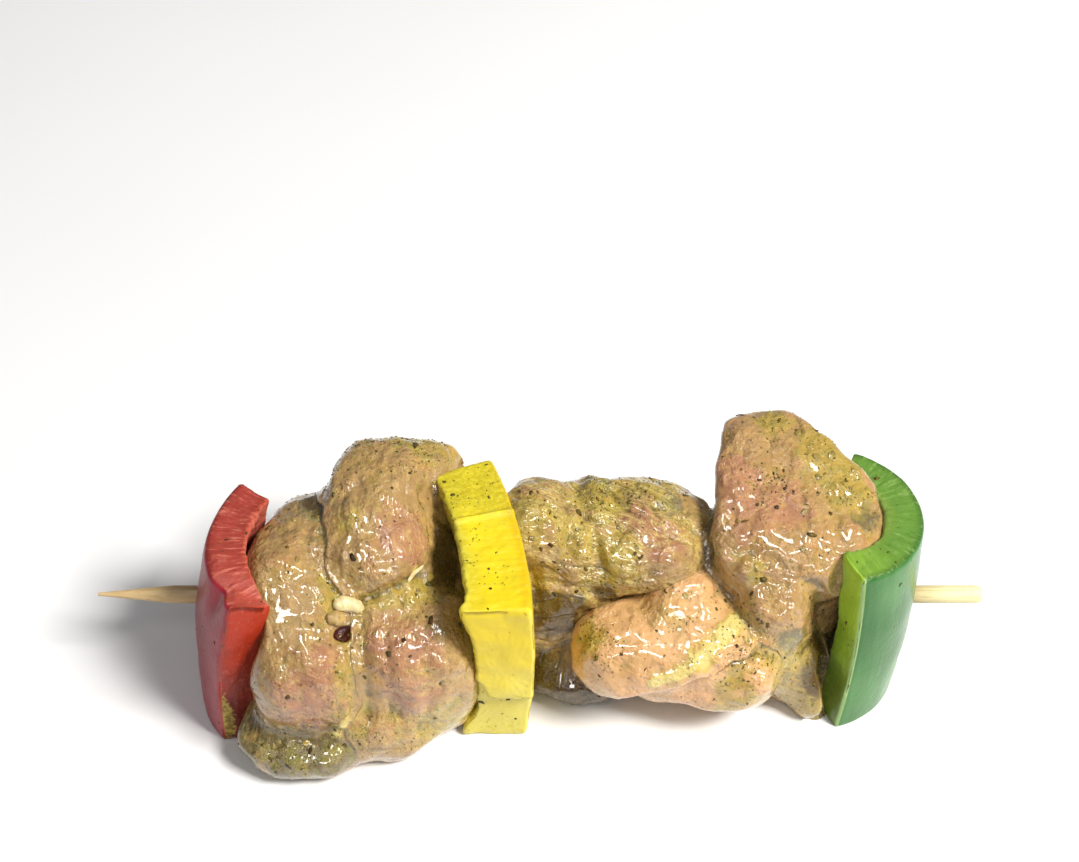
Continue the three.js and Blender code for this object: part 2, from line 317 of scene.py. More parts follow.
class KebabStageSettings(bpy.types.PropertyGroup):
    tilt: FloatProperty(name="Camera tilt", description="How far the camera looks down", subtype="ANGLE",
                        unit="ROTATION", default=math.radians(45), min=0, max=math.radians(90))
    lens: FloatProperty(name="Lens", description="Focal length of the camera, in millimetres",
                        default=53.05, min=20, max=200)
    behind: FloatProperty(name="Camera distance", description="Distance in front of the stick's middle",
                          subtype="DISTANCE", unit="LENGTH", default=0.2059, min=0.05, max=2)
    above: FloatProperty(name="Camera height", description="Height above the stick's middle",
                         subtype="DISTANCE", unit="LENGTH", default=0.253, min=0.05, max=2)
    key: FloatProperty(name="Key light", description="Power of the main light", subtype="POWER",
                       unit="POWER", default=21, min=0, max=200)
    fill: FloatProperty(name="Fill light", description="Power of the light over the camera",
                        subtype="POWER", unit="POWER", default=2.5, min=0, max=200)
    panels: FloatProperty(name="Panels", description="Power of each small light that makes wet meat glint",
                          subtype="POWER", unit="POWER", default=0.38, min=0, max=20)


class KebabSettings(bpy.types.PropertyGroup):
    meat: PointerProperty(type=KebabMeatSettings)
    pepper: PointerProperty(type=KebabPepperSettings)
    stick: PointerProperty(type=KebabStickSettings)
    garnish: PointerProperty(type=KebabGarnishSettings)
    stage: PointerProperty(type=KebabStageSettings)


# ---- Numbers over points -----------------------------------------------------------------------------


def smooth(value, low, high):
    """0 at low, 1 at high, and 3w^2 - 2w^3 between them."""
    w = np.clip((value - low) / (high - low), 0, 1)
    return w * w * (3 - 2 * w)


def scatter(cells, seed):
    """Three numbers from -1 to 1 for each whole-numbered cell, the same each time for the same seed."""
    mixed = cells @ np.array([73856093, 19349663, 83492791]) + seed * 1442695041
    out = []
    for _ in range(3):
        mixed = ((mixed ^ (mixed >> 15)) * 668265263 + 374761393) & 0xFFFFFFFF
        out.append((mixed >> 8) / 8388608.0 - 1)
    return np.stack(out, -1)


def noise(points, size, seed):
    """Gradient noise from about -1 to 1, with bumps of this size: the slopes scattered over the corners
    of a cell, blended by 6w^5 - 15w^4 + 10w^3."""
    place = points / np.asarray(size, float)
    base = np.floor(place).astype(np.int64)
    inside = place - base
    weight = inside**3 * (inside * (inside * 6 - 15) + 10)
    total = np.zeros(len(points))
    for corner in itertools.product((0, 1), repeat=3):
        slope = scatter(base + corner, seed)
        share = np.prod(np.where(corner, weight, 1 - weight), axis=-1)
        total += share * (slope * (inside - corner)).sum(-1)
    return total * 1.5


def layers(points, size, seed, count=3):
    """Noise with finer noise on it: each layer has half the size and half the height of the last."""
    return sum(noise(points, np.asarray(size, float) / 2**k, seed + k) / 2**k for k in range(count))


def unit(vectors):
    return vectors / np.maximum(np.linalg.norm(vectors, axis=-1, keepdims=True), 1e-9)


def spread_out(grid, times):
    """A grid of points, each moved this many times to the middle of its four neighbours."""
    for _ in range(times):
        around = (np.roll(grid, 1, 1) + np.roll(grid, -1, 1)) / 2
        along = (np.roll(grid, 1, 0) + np.roll(grid, -1, 0)) / 2
        along[0], along[-1] = grid[0], grid[-1]
        grid = (around + along) / 2
    return grid


def ways_out(grid, middle):
    """The way out of a surface at each point of its grid: the cross product of the steps around and along,
    at length 1, turned away from the middle."""
    around = np.roll(grid, -1, 1) - np.roll(grid, 1, 1)
    normals = unit(np.cross(around, np.gradient(grid, axis=0)))
    return normals if ((grid - middle) * normals).sum() >= 0 else -normals


def nearest_on(points, line):
    """The nearest place to each point on a line of straight pieces, or the one point that stands for it."""
    line = np.atleast_2d(np.asarray(line, float))
    best, place = np.full(len(points), np.inf), np.zeros_like(points) + line[0]
    for start, end in itertools.pairwise(line):
        run = end - start
        share = np.clip((points - start) @ run / (run @ run), 0, 1)
        here = start + share[:, None] * run
        away = ((points - here) ** 2).sum(-1)
        closer = away < best
        best[closer], place[closer] = away[closer], here[closer]
    return place


# ---- Meshes ------------------------------------------------------------------------------------------


def put_object(name, mesh, material, nodes=()):
    """Links a mesh as a piece that rides on the kebab and stands for the CAD nodes named."""
    piece = bpy.data.objects.new(name, mesh)
    bpy.context.scene.collection.objects.link(piece)
    mesh.materials.append(material)
    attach(piece, "root")
    if nodes:
        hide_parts(*nodes)
    return piece


def make_mesh(name, points, face_groups, attributes=()):
    """A smooth mesh from points in table millimetres and groups of faces with equal corner counts."""
    mesh = bpy.data.meshes.new(name)
    places = (points + ORIGIN) * MM
    mesh.vertices.add(len(places))
    mesh.vertices.foreach_set("co", places.astype(np.float32).ravel())
    corners = np.concatenate([faces.ravel() for faces in face_groups])
    counts = np.concatenate([np.full(len(faces), faces.shape[1]) for faces in face_groups])
    starts = np.concatenate([[0], np.cumsum(counts)[:-1]])
    mesh.loops.add(len(corners))
    mesh.loops.foreach_set("vertex_index", corners.astype(np.int32))
    mesh.polygons.add(len(counts))
    mesh.polygons.foreach_set("loop_start", starts.astype(np.int32))
    for key, values in dict(attributes).items():
        kind, field = ("FLOAT", "value") if values.ndim == 1 else ("FLOAT_VECTOR", "vector")
        stored = mesh.attributes.new(key, kind, "POINT")
        stored.data.foreach_set(field, values.astype(np.float32).ravel())
    mesh.update(calc_edges=True)
    mesh.shade_smooth()
    return mesh


def faces_outwards(points, face_groups):
    """Turns all faces round if together they hold a volume below zero."""
    volume = 0
    for faces in face_groups:
        a = points[faces[:, 0]]
        for k in range(1, faces.shape[1] - 1):
            b, c = points[faces[:, k]], points[faces[:, k + 1]]
            volume += (a * np.cross(b, c)).sum()
    return face_groups if volume > 0 else [faces[:, ::-1] for faces in face_groups]


def grid_faces(rows, columns, wraps):
    """Quads between neighbouring rows of a grid whose columns close on themselves. Where its rows don't,
    two more points follow the grid's own, and fans of triangles close its ends to them."""
    row = np.arange(rows if wraps else rows - 1)[:, None]
    column = np.arange(columns)[None, :]
    here, right = row * columns + column, row * columns + (column + 1) % columns
    above = (row + 1) % rows * columns
    quads = np.stack([here, right, above + (column + 1) % columns, above + column], -1).reshape(-1, 4)
    if wraps:
        return [quads]
    ring = np.arange(columns)
    next_one = (ring + 1) % columns
    first, last = rows * columns, rows * columns + 1
    top = (rows - 1) * columns
    start = np.stack([np.full(columns, first), next_one, ring], -1)
    end = np.stack([np.full(columns, last), top + ring, top + next_one], -1)
    return [quads, np.concatenate([start, end])]


def grid_mesh(name, grid, wraps, attributes):
    """A closed mesh from a grid of points, with the mean of each end row as its pole."""
    rows, columns = grid.shape[:2]
    points = grid.reshape(-1, 3)
    values = {key: value.reshape(rows * columns, *value.shape[2:]) for key, value in attributes.items()}
    if not wraps:
        points = np.concatenate([points, grid[0].mean(0)[None], grid[-1].mean(0)[None]])
        values = {
            key: np.concatenate([flat, flat[:columns].mean(0)[None], flat[-columns:].mean(0)[None]])
            for key, flat in values.items()
        }
    faces = faces_outwards(points, grid_faces(rows, columns, wraps))
    return make_mesh(name, points, faces, values)


# ---- Materials ---------------------------------------------------------------------------------------


class Link:
    """A node's output that takes part in sums: each operation adds the Math node that does it."""

    def __init__(self, finish, socket):
        self.finish, self.socket = finish, socket

    def _sum(self, operation, *values):
        return self.finish.node("ShaderNodeMath", {"operation": operation}, dict(enumerate(values)))

    def __add__(self, other):
        return self._sum("ADD", self, other)

    def __sub__(self, other):
        return self._sum("SUBTRACT", self, other)

    def __rsub__(self, other):
        return self._sum("SUBTRACT", other, self)

    def __mul__(self, other):
        return self._sum("MULTIPLY", self, other)

    __radd__ = __add__
    __rmul__ = __mul__


class Finish:
    """A material under construction."""

    def __init__(self, name):
        self.material = bpy.data.materials.new(name)
        self.material.use_nodes = True
        self.tree = self.material.node_tree
        self.tree.nodes.clear()

    def node(self, kind, settings=(), inputs=(), output=0):
        """Adds a node: its settings first, then the values or links of its sockets."""
        made = self.tree.nodes.new(kind)
        for key, value in dict(settings).items():
            setattr(made, key, value)
        for key, value in dict(inputs).items():
            if isinstance(value, Link):
                self.tree.links.new(value.socket, made.inputs[key])
            elif made.inputs[key].type == "RGBA" and len(value) == 3:
                made.inputs[key].default_value = (*value, 1)
            else:
                made.inputs[key].default_value = value
        return Link(self, made.outputs[output]) if made.outputs else None

    def mask(self, value, low, high):
        """0 below low, 1 above high and smooth between them."""
        ends = {"Value": value, "From Min": low, "From Max": high}
        return self.node("ShaderNodeMapRange", {"interpolation_type": "SMOOTHSTEP"}, ends)

    def lines(self, value, width):
        """1 where a noise crosses its middle, 0 past this width to either side."""
        off = self.node("ShaderNodeMath", {"operation": "ABSOLUTE"}, {0: value - 0.5})
        return self.mask(off, width, 0.0)

    def mix(self, first, second, share):
        """The first colour, with the second over it by this share."""
        settings = {"data_type": "RGBA", "clamp_factor": True}
        return self.node("ShaderNodeMix", settings, {0: share, 6: first, 7: second}, 2)

    def attribute(self, name, output="Fac"):
        return self.node("ShaderNodeAttribute", {"attribute_name": name}, output=output)

    def scaled(self, vector, scale):
        return self.node("ShaderNodeVectorMath", {"operation": "MULTIPLY"}, {0: vector, 1: scale})

    def place(self):
        """The object's own coordinates in millimetres."""
        coordinates = self.node("ShaderNodeTexCoord", output="Object")
        return self.scaled(coordinates, (1 / MM,) * 3)

    def noise(self, vector, scale, detail=2.0, roughness=0.5):
        inputs = {"Vector": vector, "Scale": scale, "Detail": detail, "Roughness": roughness}
        return self.node("ShaderNodeTexNoise", {}, inputs)

    def bump(self, height, distance, strength=1.0, under=None):
        inputs = {"Height": height, "Distance": distance * MM, "Strength": strength}
        if under:
            inputs["Normal"] = under
        return self.node("ShaderNodeBump", {}, inputs)

    def done(self, **sockets):
        """Ends in a Principled shader with these sockets, named with _ for each space."""
        inputs = {key.replace("_", " "): value for key, value in sockets.items()}
        shader = self.node("ShaderNodeBsdfPrincipled", {}, inputs)
        self.node("ShaderNodeOutputMaterial", {}, {"Surface": shader})
        return self.material


def meat_finish(name, settings, fibres, pale):
    """Wet raw meat: pale, pink and mauve flesh, fine fibres, thin skin with a painted sheen in patches, an
    oily yellow film with herb dust, fat, painted shade in recesses, hollows and seams, and blood."""
    f = Finish(name)
    place = f.place()
    strands = f.attribute("fibre", "Vector")
    broad = f.noise(place, 0.13, 2.0)
    patches = f.noise(place, 0.3, 2.0)
    middling = f.noise(place, 0.6, 2.0)
    small = f.noise(place, 1.5, 2.0)
    tiny = f.noise(place, 3.4, 2.0)
    thread = f.noise(f.scaled(strands, (0.14, 1.0, 1.0)), 1.0, 3.0, 0.6)
    fine_thread = f.noise(f.scaled(strands, (0.3, 2.6, 2.6)), 1.0, 2.0)
    hollow = f.attribute("hollow")

    flesh, warm = tuple(settings.flesh), tuple(settings.warm)
    colour = f.mix(flesh, warm, f.mask(broad + f.attribute("pink") * 0.3, 0.42, 0.68))
    colour = f.mix(colour, shown(228, 178, 124), pale * 0.9)
    colour = f.mix(colour, shown(154, 112, 90), f.mask(patches, 0.5, 0.72) * (0.55 - pale * 0.45))
    colour = f.mix(colour, shown(200, 164, 100), f.mask(1 - middling, 0.5, 0.72) * 0.5)
    colour = f.mix(colour, shown(112, 84, 40), f.mask(1 - thread, 0.5, 0.68) * (0.05 + fibres * 0.6))

    skin = f.mask(f.attribute("membrane") + (middling - 0.5) * 0.9, 0.3, 0.8)
    # The paler mauve patches on the thin skin are a painted sheen.
    skin_tone = f.mix(tuple(settings.membrane), shown(132, 122, 100), f.mask(patches, 0.5, 0.6) * 0.7)
    skin_tone = f.mix(skin_tone, shown(116, 118, 52), f.mask(1 - middling, 0.48, 0.62) * 0.7)
    colour = f.mix(colour, skin_tone, skin * 0.85)

    pooled = f.attribute("marinade") * 0.8 + hollow * 0.15 + (broad - 0.5) * 1.4 + (patches - 0.5) * 0.8
    film = f.mask(pooled + (small - 0.5) * 0.4 + fibres * 0.3 - pale * 0.1
                  - f.attribute("pink") * 0.35, -0.2, 0.6)
    olive = f.mask(middling, 0.44, 0.64) * (1 - fibres)
    film_tone = f.mix(tuple(settings.marinade), shown(146, 138, 48), olive)
    colour = f.mix(colour, film_tone, film * (0.7 - skin * 0.35))
    pale_lines = f.lines(thread, 0.035) * (0.15 + fibres * 1.8)
    pale_lines += f.lines(fine_thread, 0.04) * (0.2 + fibres)
    colour = f.mix(colour, shown(206, 190, 116), f.mask(pale_lines * f.mask(broad, 0.3, 0.55), 0.0, 1.1))

    fat = f.mask(f.attribute("cream") + (thread - 0.5) * 1.5 + (small - 0.5) * 0.8, 0.25, 0.7)
    cream = f.mix(tuple(settings.cream), shown(220, 202, 124), f.mask(f.attribute("cream"), 0.6, 1.0))
    colour = f.mix(colour, cream, fat * 0.9)
    # Painted shade: the listed spots where a recess or an overhang lies in shadow are darkened.
    colour = f.mix(colour, shown(66, 46, 20), f.mask(f.attribute("painted_shade"), 0.0, 0.9) * 0.85)
    # Painted shade in the hollows and along the seams with other pieces.
    colour = f.mix(colour, shown(62, 42, 18), f.mask(hollow, 0.4, 1.5) * 0.55)
    colour = f.mix(colour, shown(66, 14, 4), f.mask(f.attribute("blood"), 0.25, 0.5))

    speck = f.node("ShaderNodeTexVoronoi", {}, {"Vector": place, "Scale": 0.62}, "Distance")
    sparse = f.mask(f.noise(place, 0.3, 1.0), 0.45, 0.6)
    colour = f.mix(colour, shown(70, 50, 18), f.mask(1 - speck, 0.84, 0.9) * sparse * 0.8)

    height = thread * (0.25 + fibres * 1.2) + fine_thread * (0.12 + fibres * 0.5) + small * 0.2
    normal = f.bump(height, 0.3, 0.65)
    wet = f.mask(f.noise(place, 0.17, 2.0), 0.38, 0.6)
    normal = f.bump((middling * 1.1 + small * 0.42 + tiny * 0.1) * (0.3 + wet * 0.8), 0.75, 0.85, normal)
    roughness = 0.2 + f.mask(small, 0.35, 0.7) * 0.12
    return f.done(Base_Color=colour, Roughness=roughness, Normal=normal, IOR=1.42, Subsurface_Weight=0.4,
                  Subsurface_Radius=(1.0, 0.6, 0.25), Subsurface_Scale=0.002, Coat_Weight=1.0,
                  Coat_Roughness=0.04, Coat_IOR=1.5)


def pepper_finish(name, tones, coat, film_tones=((126, 104, 36), (188, 164, 70))):
    """A pepper's wall: streaks across the cut, darker next to the skin, pale inside and of its own tones at
    the near end, with marinade, a painted highlight along the near end's edge with the skin, and a waxy
    skin with a paler painted sheen in patches. The cut's own coordinates are along the wall, through it and
    up, in millimetres."""
    f = Finish(name)
    place = f.place()
    wall = f.attribute("wall", "Vector")
    depth = f.attribute("depth")
    outer = f.mask(f.attribute("skin"), 0.5, 0.72)
    broad = f.noise(place, 0.16, 2.0)
    small = f.noise(place, 1.1, 3.0)
    lines = f.noise(f.scaled(wall, (1.3, 0.2, 0.6)), 1.0, 3.0, 0.65)
    hair = f.noise(f.scaled(wall, (3.6, 0.4, 2.0)), 1.0, 2.0)
    rise = f.node("ShaderNodeSeparateXYZ", {}, {"Vector": wall}, 2)

    colour = f.mix(tones["core"], tones["cut"], f.mask(depth + (broad - 0.5) * 0.8, -1.0, -0.3))
    colour = f.mix(colour, tones["near"], f.attribute("near") * f.mask(broad, 0.2, 0.6) * 0.85)
    end = f.attribute("end")
    rim = 1 - f.mask(end, 0.05, 0.3)
    ragged = f.mask(broad + (small - 0.5), 0.3, 0.62)
    colour = f.mix(colour, tones["edge"], f.mask(depth + (lines - 0.5) * 0.5, 0.5, 1.05) * rim)
    colour = f.mix(colour, tones["streak"], f.mask(lines, 0.5, 0.66) * ragged * tones["contrast"])
    colour = f.mix(colour, tones["edge"], f.mask(1 - lines, 0.54, 0.72) * ragged * 0.5 * tones["contrast"])
    colour = f.mix(colour, tones["streak"], f.mask(hair, 0.55, 0.72) * 0.4 * tones["contrast"])
    colour = f.mix(colour, tones["streak"], f.mask(0 - depth + (small - 0.5) * 0.8, 0.7, 1.0) * 0.5)
    end_tone = f.mix(tones["end_foot"], tones["end_top"], f.mask(rise + (broad - 0.5) * 20, 4, 34))
    end_tone = f.mix(end_tone, tones["streak"], f.mask(small, 0.52, 0.75) * 0.3)
    colour = f.mix(colour, end_tone, f.mask(end, 0.3, 0.55))
    film = f.mask(f.attribute("marinade") + (small - 0.5) * 1.5, 0.35, 0.7)
    film_tone = f.mix(shown(*film_tones[0]), shown(*film_tones[1]), f.mask(small, 0.4, 0.6))
    colour = f.mix(colour, film_tone, film * 0.85)
    # The skin's paler sheen tone is painted reflection, laid in broad patches.
    patchy = f.noise(place, 0.05, 1.0) + (f.noise(f.scaled(wall, (0.5, 0.5, 0.06)), 1.0, 2.0) - 0.5) * 0.4
    skin_tone = f.mix(tones["skin"], tones["sheen"], f.mask(patchy, 0.25, 0.85))
    colour = f.mix(colour, skin_tone, outer)
    # A paler line where the near end meets the skin: a painted highlight on that ridge.
    line = f.mask(f.attribute("skin"), 0.2, 0.45) * f.mask(end, 0.2, 0.5)
    colour = f.mix(colour, tones["line"], line * (1 - f.mask(f.attribute("skin"), 0.8, 0.9)))
    normal = f.bump(lines * 0.7 + small * 0.25 + hair * 0.35, 0.3, 0.55)
    roughness = 0.38 - outer * 0.1 + small * 0.1
    return f.done(Base_Color=colour, Roughness=roughness, Normal=normal, IOR=1.38, Subsurface_Weight=0.15,
                  Subsurface_Radius=(1.0, 0.8, 0.3), Subsurface_Scale=0.0015, Coat_Weight=coat,
                  Coat_Roughness=0.12, Coat_IOR=1.4)


def wood_finish(name, settings):
    """Pale sanded wood: long grain along the stick, paler towards its right end by painted light, and near
    the food darker by painted shade and glossier as if damp.
    """
    f = Finish(name)
    place = f.place()
    grain = f.noise(f.scaled(place, (0.05, 1.9, 1.9)), 1.0, 4.0, 0.65)
    pores = f.noise(f.scaled(place, (0.35, 6.0, 6.0)), 1.0, 2.0)
    along = f.node("ShaderNodeSeparateXYZ", {}, {"Vector": place})
    # Paler towards the right end: painted light.
    colour = f.mix(tuple(settings.wood), shown(240, 228, 176), f.mask(along, 0, 80))
    colour = f.mix(colour, shown(176, 136, 78), f.mask(grain, 0.45, 0.68) * 0.45)
    colour = f.mix(colour, shown(120, 86, 44), f.mask(pores, 0.6, 0.75) * 0.5)
    # Darker near the food: painted shade; the wood is also glossier there as if damp.
    colour = f.mix(colour, shown(134, 104, 50), f.attribute("damp_and_shade") * 0.6)
    normal = f.bump(grain + pores * 0.5, 0.12, 0.6)
    roughness = 0.62 - f.attribute("damp_and_shade") * 0.3
    return f.done(Base_Color=colour, Roughness=roughness, Normal=normal, IOR=1.45)


def shaded_finish(name, dark, light, roughness, coat=0.0):
    """One tone to another by each bit's own shade, with a little mottling."""
    f = Finish(name)
    shade = f.attribute("shade") + (f.noise(f.place(), 2.5, 2.0) - 0.5) * 0.5
    colour = f.mix(dark, light, f.mask(shade, 0.0, 1.0))
    normal = f.bump(f.noise(f.place(), 5.0, 2.0), 0.08, 0.4)
    return f.done(Base_Color=colour, Roughness=roughness, Normal=normal, Subsurface_Weight=0.3,
                  Subsurface_Scale=0.001, Coat_Weight=coat, Coat_Roughness=0.05)


def floor_finish(name):
    f = Finish(name)
    tint = f.mix((0.86, 0.86, 0.86), (0.9, 0.9, 0.9), f.noise(f.place(), 0.01, 1.0))
    return f.done(Base_Color=tint, Roughness=0.6, IOR=1.3)


# ---- Pepper shapes -----------------------------------------------------------------------------------


def wall_at(wall, z):
    """A wall's thickness at each height, and its arc's centre there: leant, and bowed by a parabola."""
    up = np.clip(z / wall["high"], 0, 1)
    out = wall["bow"] * (1 - (2 * up - 1) ** 2)
    height = up * wall["high"] - STICK_Z
    angle = math.radians(wall["middle"])
    thick = wall["thick"][0] + (wall["thick"][1] - wall["thick"][0]) * up
    x = wall["centre"][0] + wall["lean"][0] * height + out * math.cos(angle)
    y = wall["centre"][1] + wall["lean"][1] * height + out * math.sin(angle)
    return thick, x, y


def outside_wall(points, wall):
    """How far each point is outside a wall: past half its thickness from its arc, or above or below it."""
    thick, x, y = wall_at(wall, points[:, 2])
    dx, dy = points[:, 0] - x, points[:, 1] - y
    middle, spread = math.radians(wall["middle"]), math.radians(wall["spread"])
    turned = np.arctan2(dy, dx) - middle
    angle = middle + np.clip(np.arctan2(np.sin(turned), np.cos(turned)), -spread, spread)
    away = np.hypot(dx - wall["radius"] * np.cos(angle), dy - wall["radius"] * np.sin(angle))
    return np.maximum(away - thick / 2, np.maximum(points[:, 2] - wall["high"], -points[:, 2]))


def box_shell(half, around, along, cap):
    """A box's surface as a grid: each row runs around its section, and the rows grow out from the middle of
    one end, run along the box, and shrink to the middle of the other end."""
    _, h, t = half
    perimeter = 4 * (h + t)
    run = np.arange(around) / around * perimeter
    sides = np.array([0, 2 * t, 2 * t + 2 * h, 4 * t + 2 * h, perimeter])
    through = np.interp(run, sides, [-t, t, t, -t, -t])
    up = np.interp(run, sides, [-h, -h, h, h, -h])
    grow = np.linspace(0, 1, cap + 1)[1:]
    shares = np.concatenate([grow, np.ones(along), grow[::-1]])
    steps = np.concatenate([np.full(cap, -1), np.linspace(-1, 1, along), np.full(cap, 1)]) * half[0]
    grid = np.empty((len(shares), around, 3))
    grid[..., 0] = steps[:, None]
    grid[..., 1] = shares[:, None] * up
    grid[..., 2] = shares[:, None] * through
    return grid


def rounded(grid, half, corner):
    """Moves a box's surface in to a rounding of its edges, and gives the way out at each point too: a point
    ends at the corner's radius from the nearest point of a smaller box."""
    inset = np.array(half) - corner
    core = np.clip(grid, -inset, inset)
    way = unit(grid - core)
    return core + way * corner, way


def bent(wall, along, up, through):
    """Bends box coordinates into a wall: along its arc, up and through it."""
    z = wall["high"] / 2 + up
    thick, x, y = wall_at(wall, z)
    angle = math.radians(wall["middle"]) - along / wall["radius"]
    r = wall["radius"] + through * thick / wall["thick"][1]
    return np.stack([x + r * np.cos(angle), y + r * np.sin(angle), z], -1)


def pepper_surface(name, settings, seed, uneven, shape, near):
    """The grid of a pepper's wall and its attributes. shape moves the box coordinates first, and then the
    cut is roughened along its own normals. near is 1 if the near end is where its arc ends, -1 if it is
    where it starts."""
    wall = WALLS[name]
    arc = math.radians(wall["spread"]) * wall["radius"]
    half = np.array([arc, wall["high"] / 2, wall["thick"][1] / 2])
    step = settings.step / DETAIL
    around = int(4 * (half[1] + half[2]) / step)
    shell = box_shell(half, around, int(2 * arc / step), int(half[2] / step))
    box, way = rounded(shell, half, settings.corner)
    along, up, through = shape(box[..., 0], box[..., 1], box[..., 2])
    grid = bent(wall, along, up, through)
    flat = grid.reshape(-1, 3)
    coordinates = np.stack([along, through, up + half[1]], -1)
    outer = np.clip(way[..., 2], 0, 1)
    inner = np.clip(-way[..., 2], 0, 1)
    cut = 1 - outer
    lines = noise(coordinates.reshape(-1, 3), (1.1, 6.0, 2.4), seed + 5).reshape(cut.shape)
    rise = uneven * layers(flat, 9.0, seed, 2).reshape(cut.shape) * (0.35 + 0.65 * cut)
    rise += 0.2 * uneven * lines * cut + 0.08 * noise(flat, 0.9, seed + 9).reshape(cut.shape) * cut
    rise += 0.35 * inner * layers(flat, 3.0, seed + 3, 3).reshape(cut.shape)
    grid = grid + ways_out(grid, grid.mean((0, 1))) * rise[..., None]
    grid[..., 2] = np.maximum(grid[..., 2], 0)
    return grid, {
        "wall": coordinates,
        "depth": through / half[2],
        "skin": outer,
        "near": smooth(near * box[..., 0] / arc, 0.35, 0.95),
        "end": np.clip(near * way[..., 0], 0, 1),
    }


# ---- Meat shapes -------------------------------------------------------------------------------------


def lobe_axes(turn, tilt):
    """A lobe's axes as columns: turned about Z, after a tilt about X."""
    turned = Matrix.Rotation(math.radians(turn), 3, "Z") @ Matrix.Rotation(math.radians(tilt), 3, "X")
    return np.array(turned)


def outside_lobe(points, lobe):
    """How far each point is outside a lobe, along the line from its middle: |q| (1 - 1 / n), where q is the
    point in the lobe's axes and n is its size in half sizes, by the power that the squareness gives."""
    at, half, square, turn, tilt = (*lobe, 0, 0)[:5]
    local = (points - np.array(at)) @ lobe_axes(turn, tilt)
    ratio = (np.abs(local / np.array(half)) ** square).sum(-1) ** (1 / square)
    return np.linalg.norm(local, axis=-1) * (1 - 1 / np.maximum(ratio, 1e-6))


def outside_meat(points, name):
    """How far each point is outside a piece: the soft least over its lobes, -k log(sum of exp(-d / k)),
    and then the soft greatest of that and of how far it is past each plane."""
    meat = MEATS[name]
    blend = meat["blend"]
    total = sum(np.exp(-np.clip(outside_lobe(points, lobe), -40, 90) / blend) for lobe in meat["lobes"])
    own = -blend * np.log(total + 1e-30)
    for point, way in meat.get("cuts", ()):
        past = (points - np.array(point)) @ (np.array(way) / np.linalg.norm(way))
        own = CUT_EDGE * np.logaddexp(own / CUT_EDGE, past / CUT_EDGE)
    return own


def contact(points, name, press=0.3, blended=True):
    """How far each point is past a piece's contacts: half the way over an uneven border with each piece it
    touches, or into a pepper. The two sides are pressed into each other this far, so that no slit shows.
    blended is False to leave out the borders that are too soft to show as a seam."""
    own = outside_meat(points, name)
    most = np.full(len(points), -60.0)
    for other, blend in MEATS[name]["touches"].items():
        if blend > SOFTEST_SEAM and not blended:
            continue
        if other in MEATS:
            side = 1 if name < other else -1
            wander = side * 1.3 * layers(points, 10.0, 61, 2)
            most = np.maximum(most, (own - outside_meat(points, other)) / 2 + wander - press)
        else:
            most = np.maximum(most, -press - outside_wall(points, WALLS[other]))
    return most


def outside_pressed(points, name):
    """How far each point is outside a piece as it is on the stick. Its border runs softly into those of
    the pieces it touches, it ends at its contacts, and it is flat on the table."""
    soft = outside_meat(points, name)
    for other, blend in MEATS[name]["touches"].items():
        if blend:
            soft = -blend * np.logaddexp(-soft / blend, -outside_meat(points, other) / blend)
    return np.maximum(np.maximum(soft, -points[:, 2]), contact(points, name))


def leaving(middle, rays, name, reach=46.0, shortest=0.35):
    """How far along each ray it leaves a piece for the last time: steps inwards of half the distance that
    is left, then halves the last step."""
    near = np.full(len(rays), reach)
    far = near.copy()
    moving = np.arange(len(rays))
    while len(moving):
        left = outside_pressed(middle + rays[moving] * near[moving, None], name)
        moving, left = moving[left > 0], left[left > 0]
        far[moving] = near[moving]
        near[moving] -= np.maximum(shortest, left / 2)
        moving = moving[near[moving] > 1]
    for _ in range(8):
        half = (near + far) / 2
        out = outside_pressed(middle + rays * half[:, None], name) > 0
        far, near = np.where(out, half, far), np.where(out, near, half)
    return near


def spot_share(points, name, kind, ragged):
    """How much each point is in a piece's spots of one kind: 1 in the middle, 0 outside a ragged edge."""
    share = np.zeros(len(points))
    for at, radius in MEATS[name]["spots"].get(kind, ()):
        away = np.linalg.norm(points - nearest_on(points, at), axis=-1) / radius
        share = np.maximum(share, smooth(away + 0.45 * ragged, 1.3, 0.4))
    return share


def creased(points, normals, name):
    """How far a piece's creases move each point in or out: a groove of a bell's section along each line,
    and a step down on its lower side that fades out over 9 mm."""
    move = np.zeros(len(points))
    for line, depth, width, step in MEATS[name]["creases"]:
        wander = 0.5 * noise(points, 3.0, 71)[:, None]
        away = points + wander - nearest_on(points, line)
        through = (away * normals).sum(-1)
        flat = np.sqrt(np.maximum((away**2).sum(-1) - through**2, 0))
        close = smooth(np.abs(through), 8, 4)
        move -= depth * np.exp(-((flat / width) ** 2)) * close
        below = smooth(-away[:, 2] - 0.5 * away[:, 1], 0, width)
        move -= step * below * smooth(flat, 9, 3) * close
    return move


def tunnel_closed(grid, values, rows=3):
    """Adds the rows of the tunnel that the stick leaves: from the last ring straight to the first."""
    shares = np.arange(1, rows + 1) / (rows + 1)
    tunnel = np.stack([grid[-1] * (1 - s) + grid[0] * s for s in shares])
    more = {key: np.stack([v[-1] * (1 - s) + v[0] * s for s in shares]) for key, v in values.items()}
    closed = {key: np.concatenate([v, more[key]]) for key, v in values.items()}
    return np.concatenate([grid, tunnel]), closed


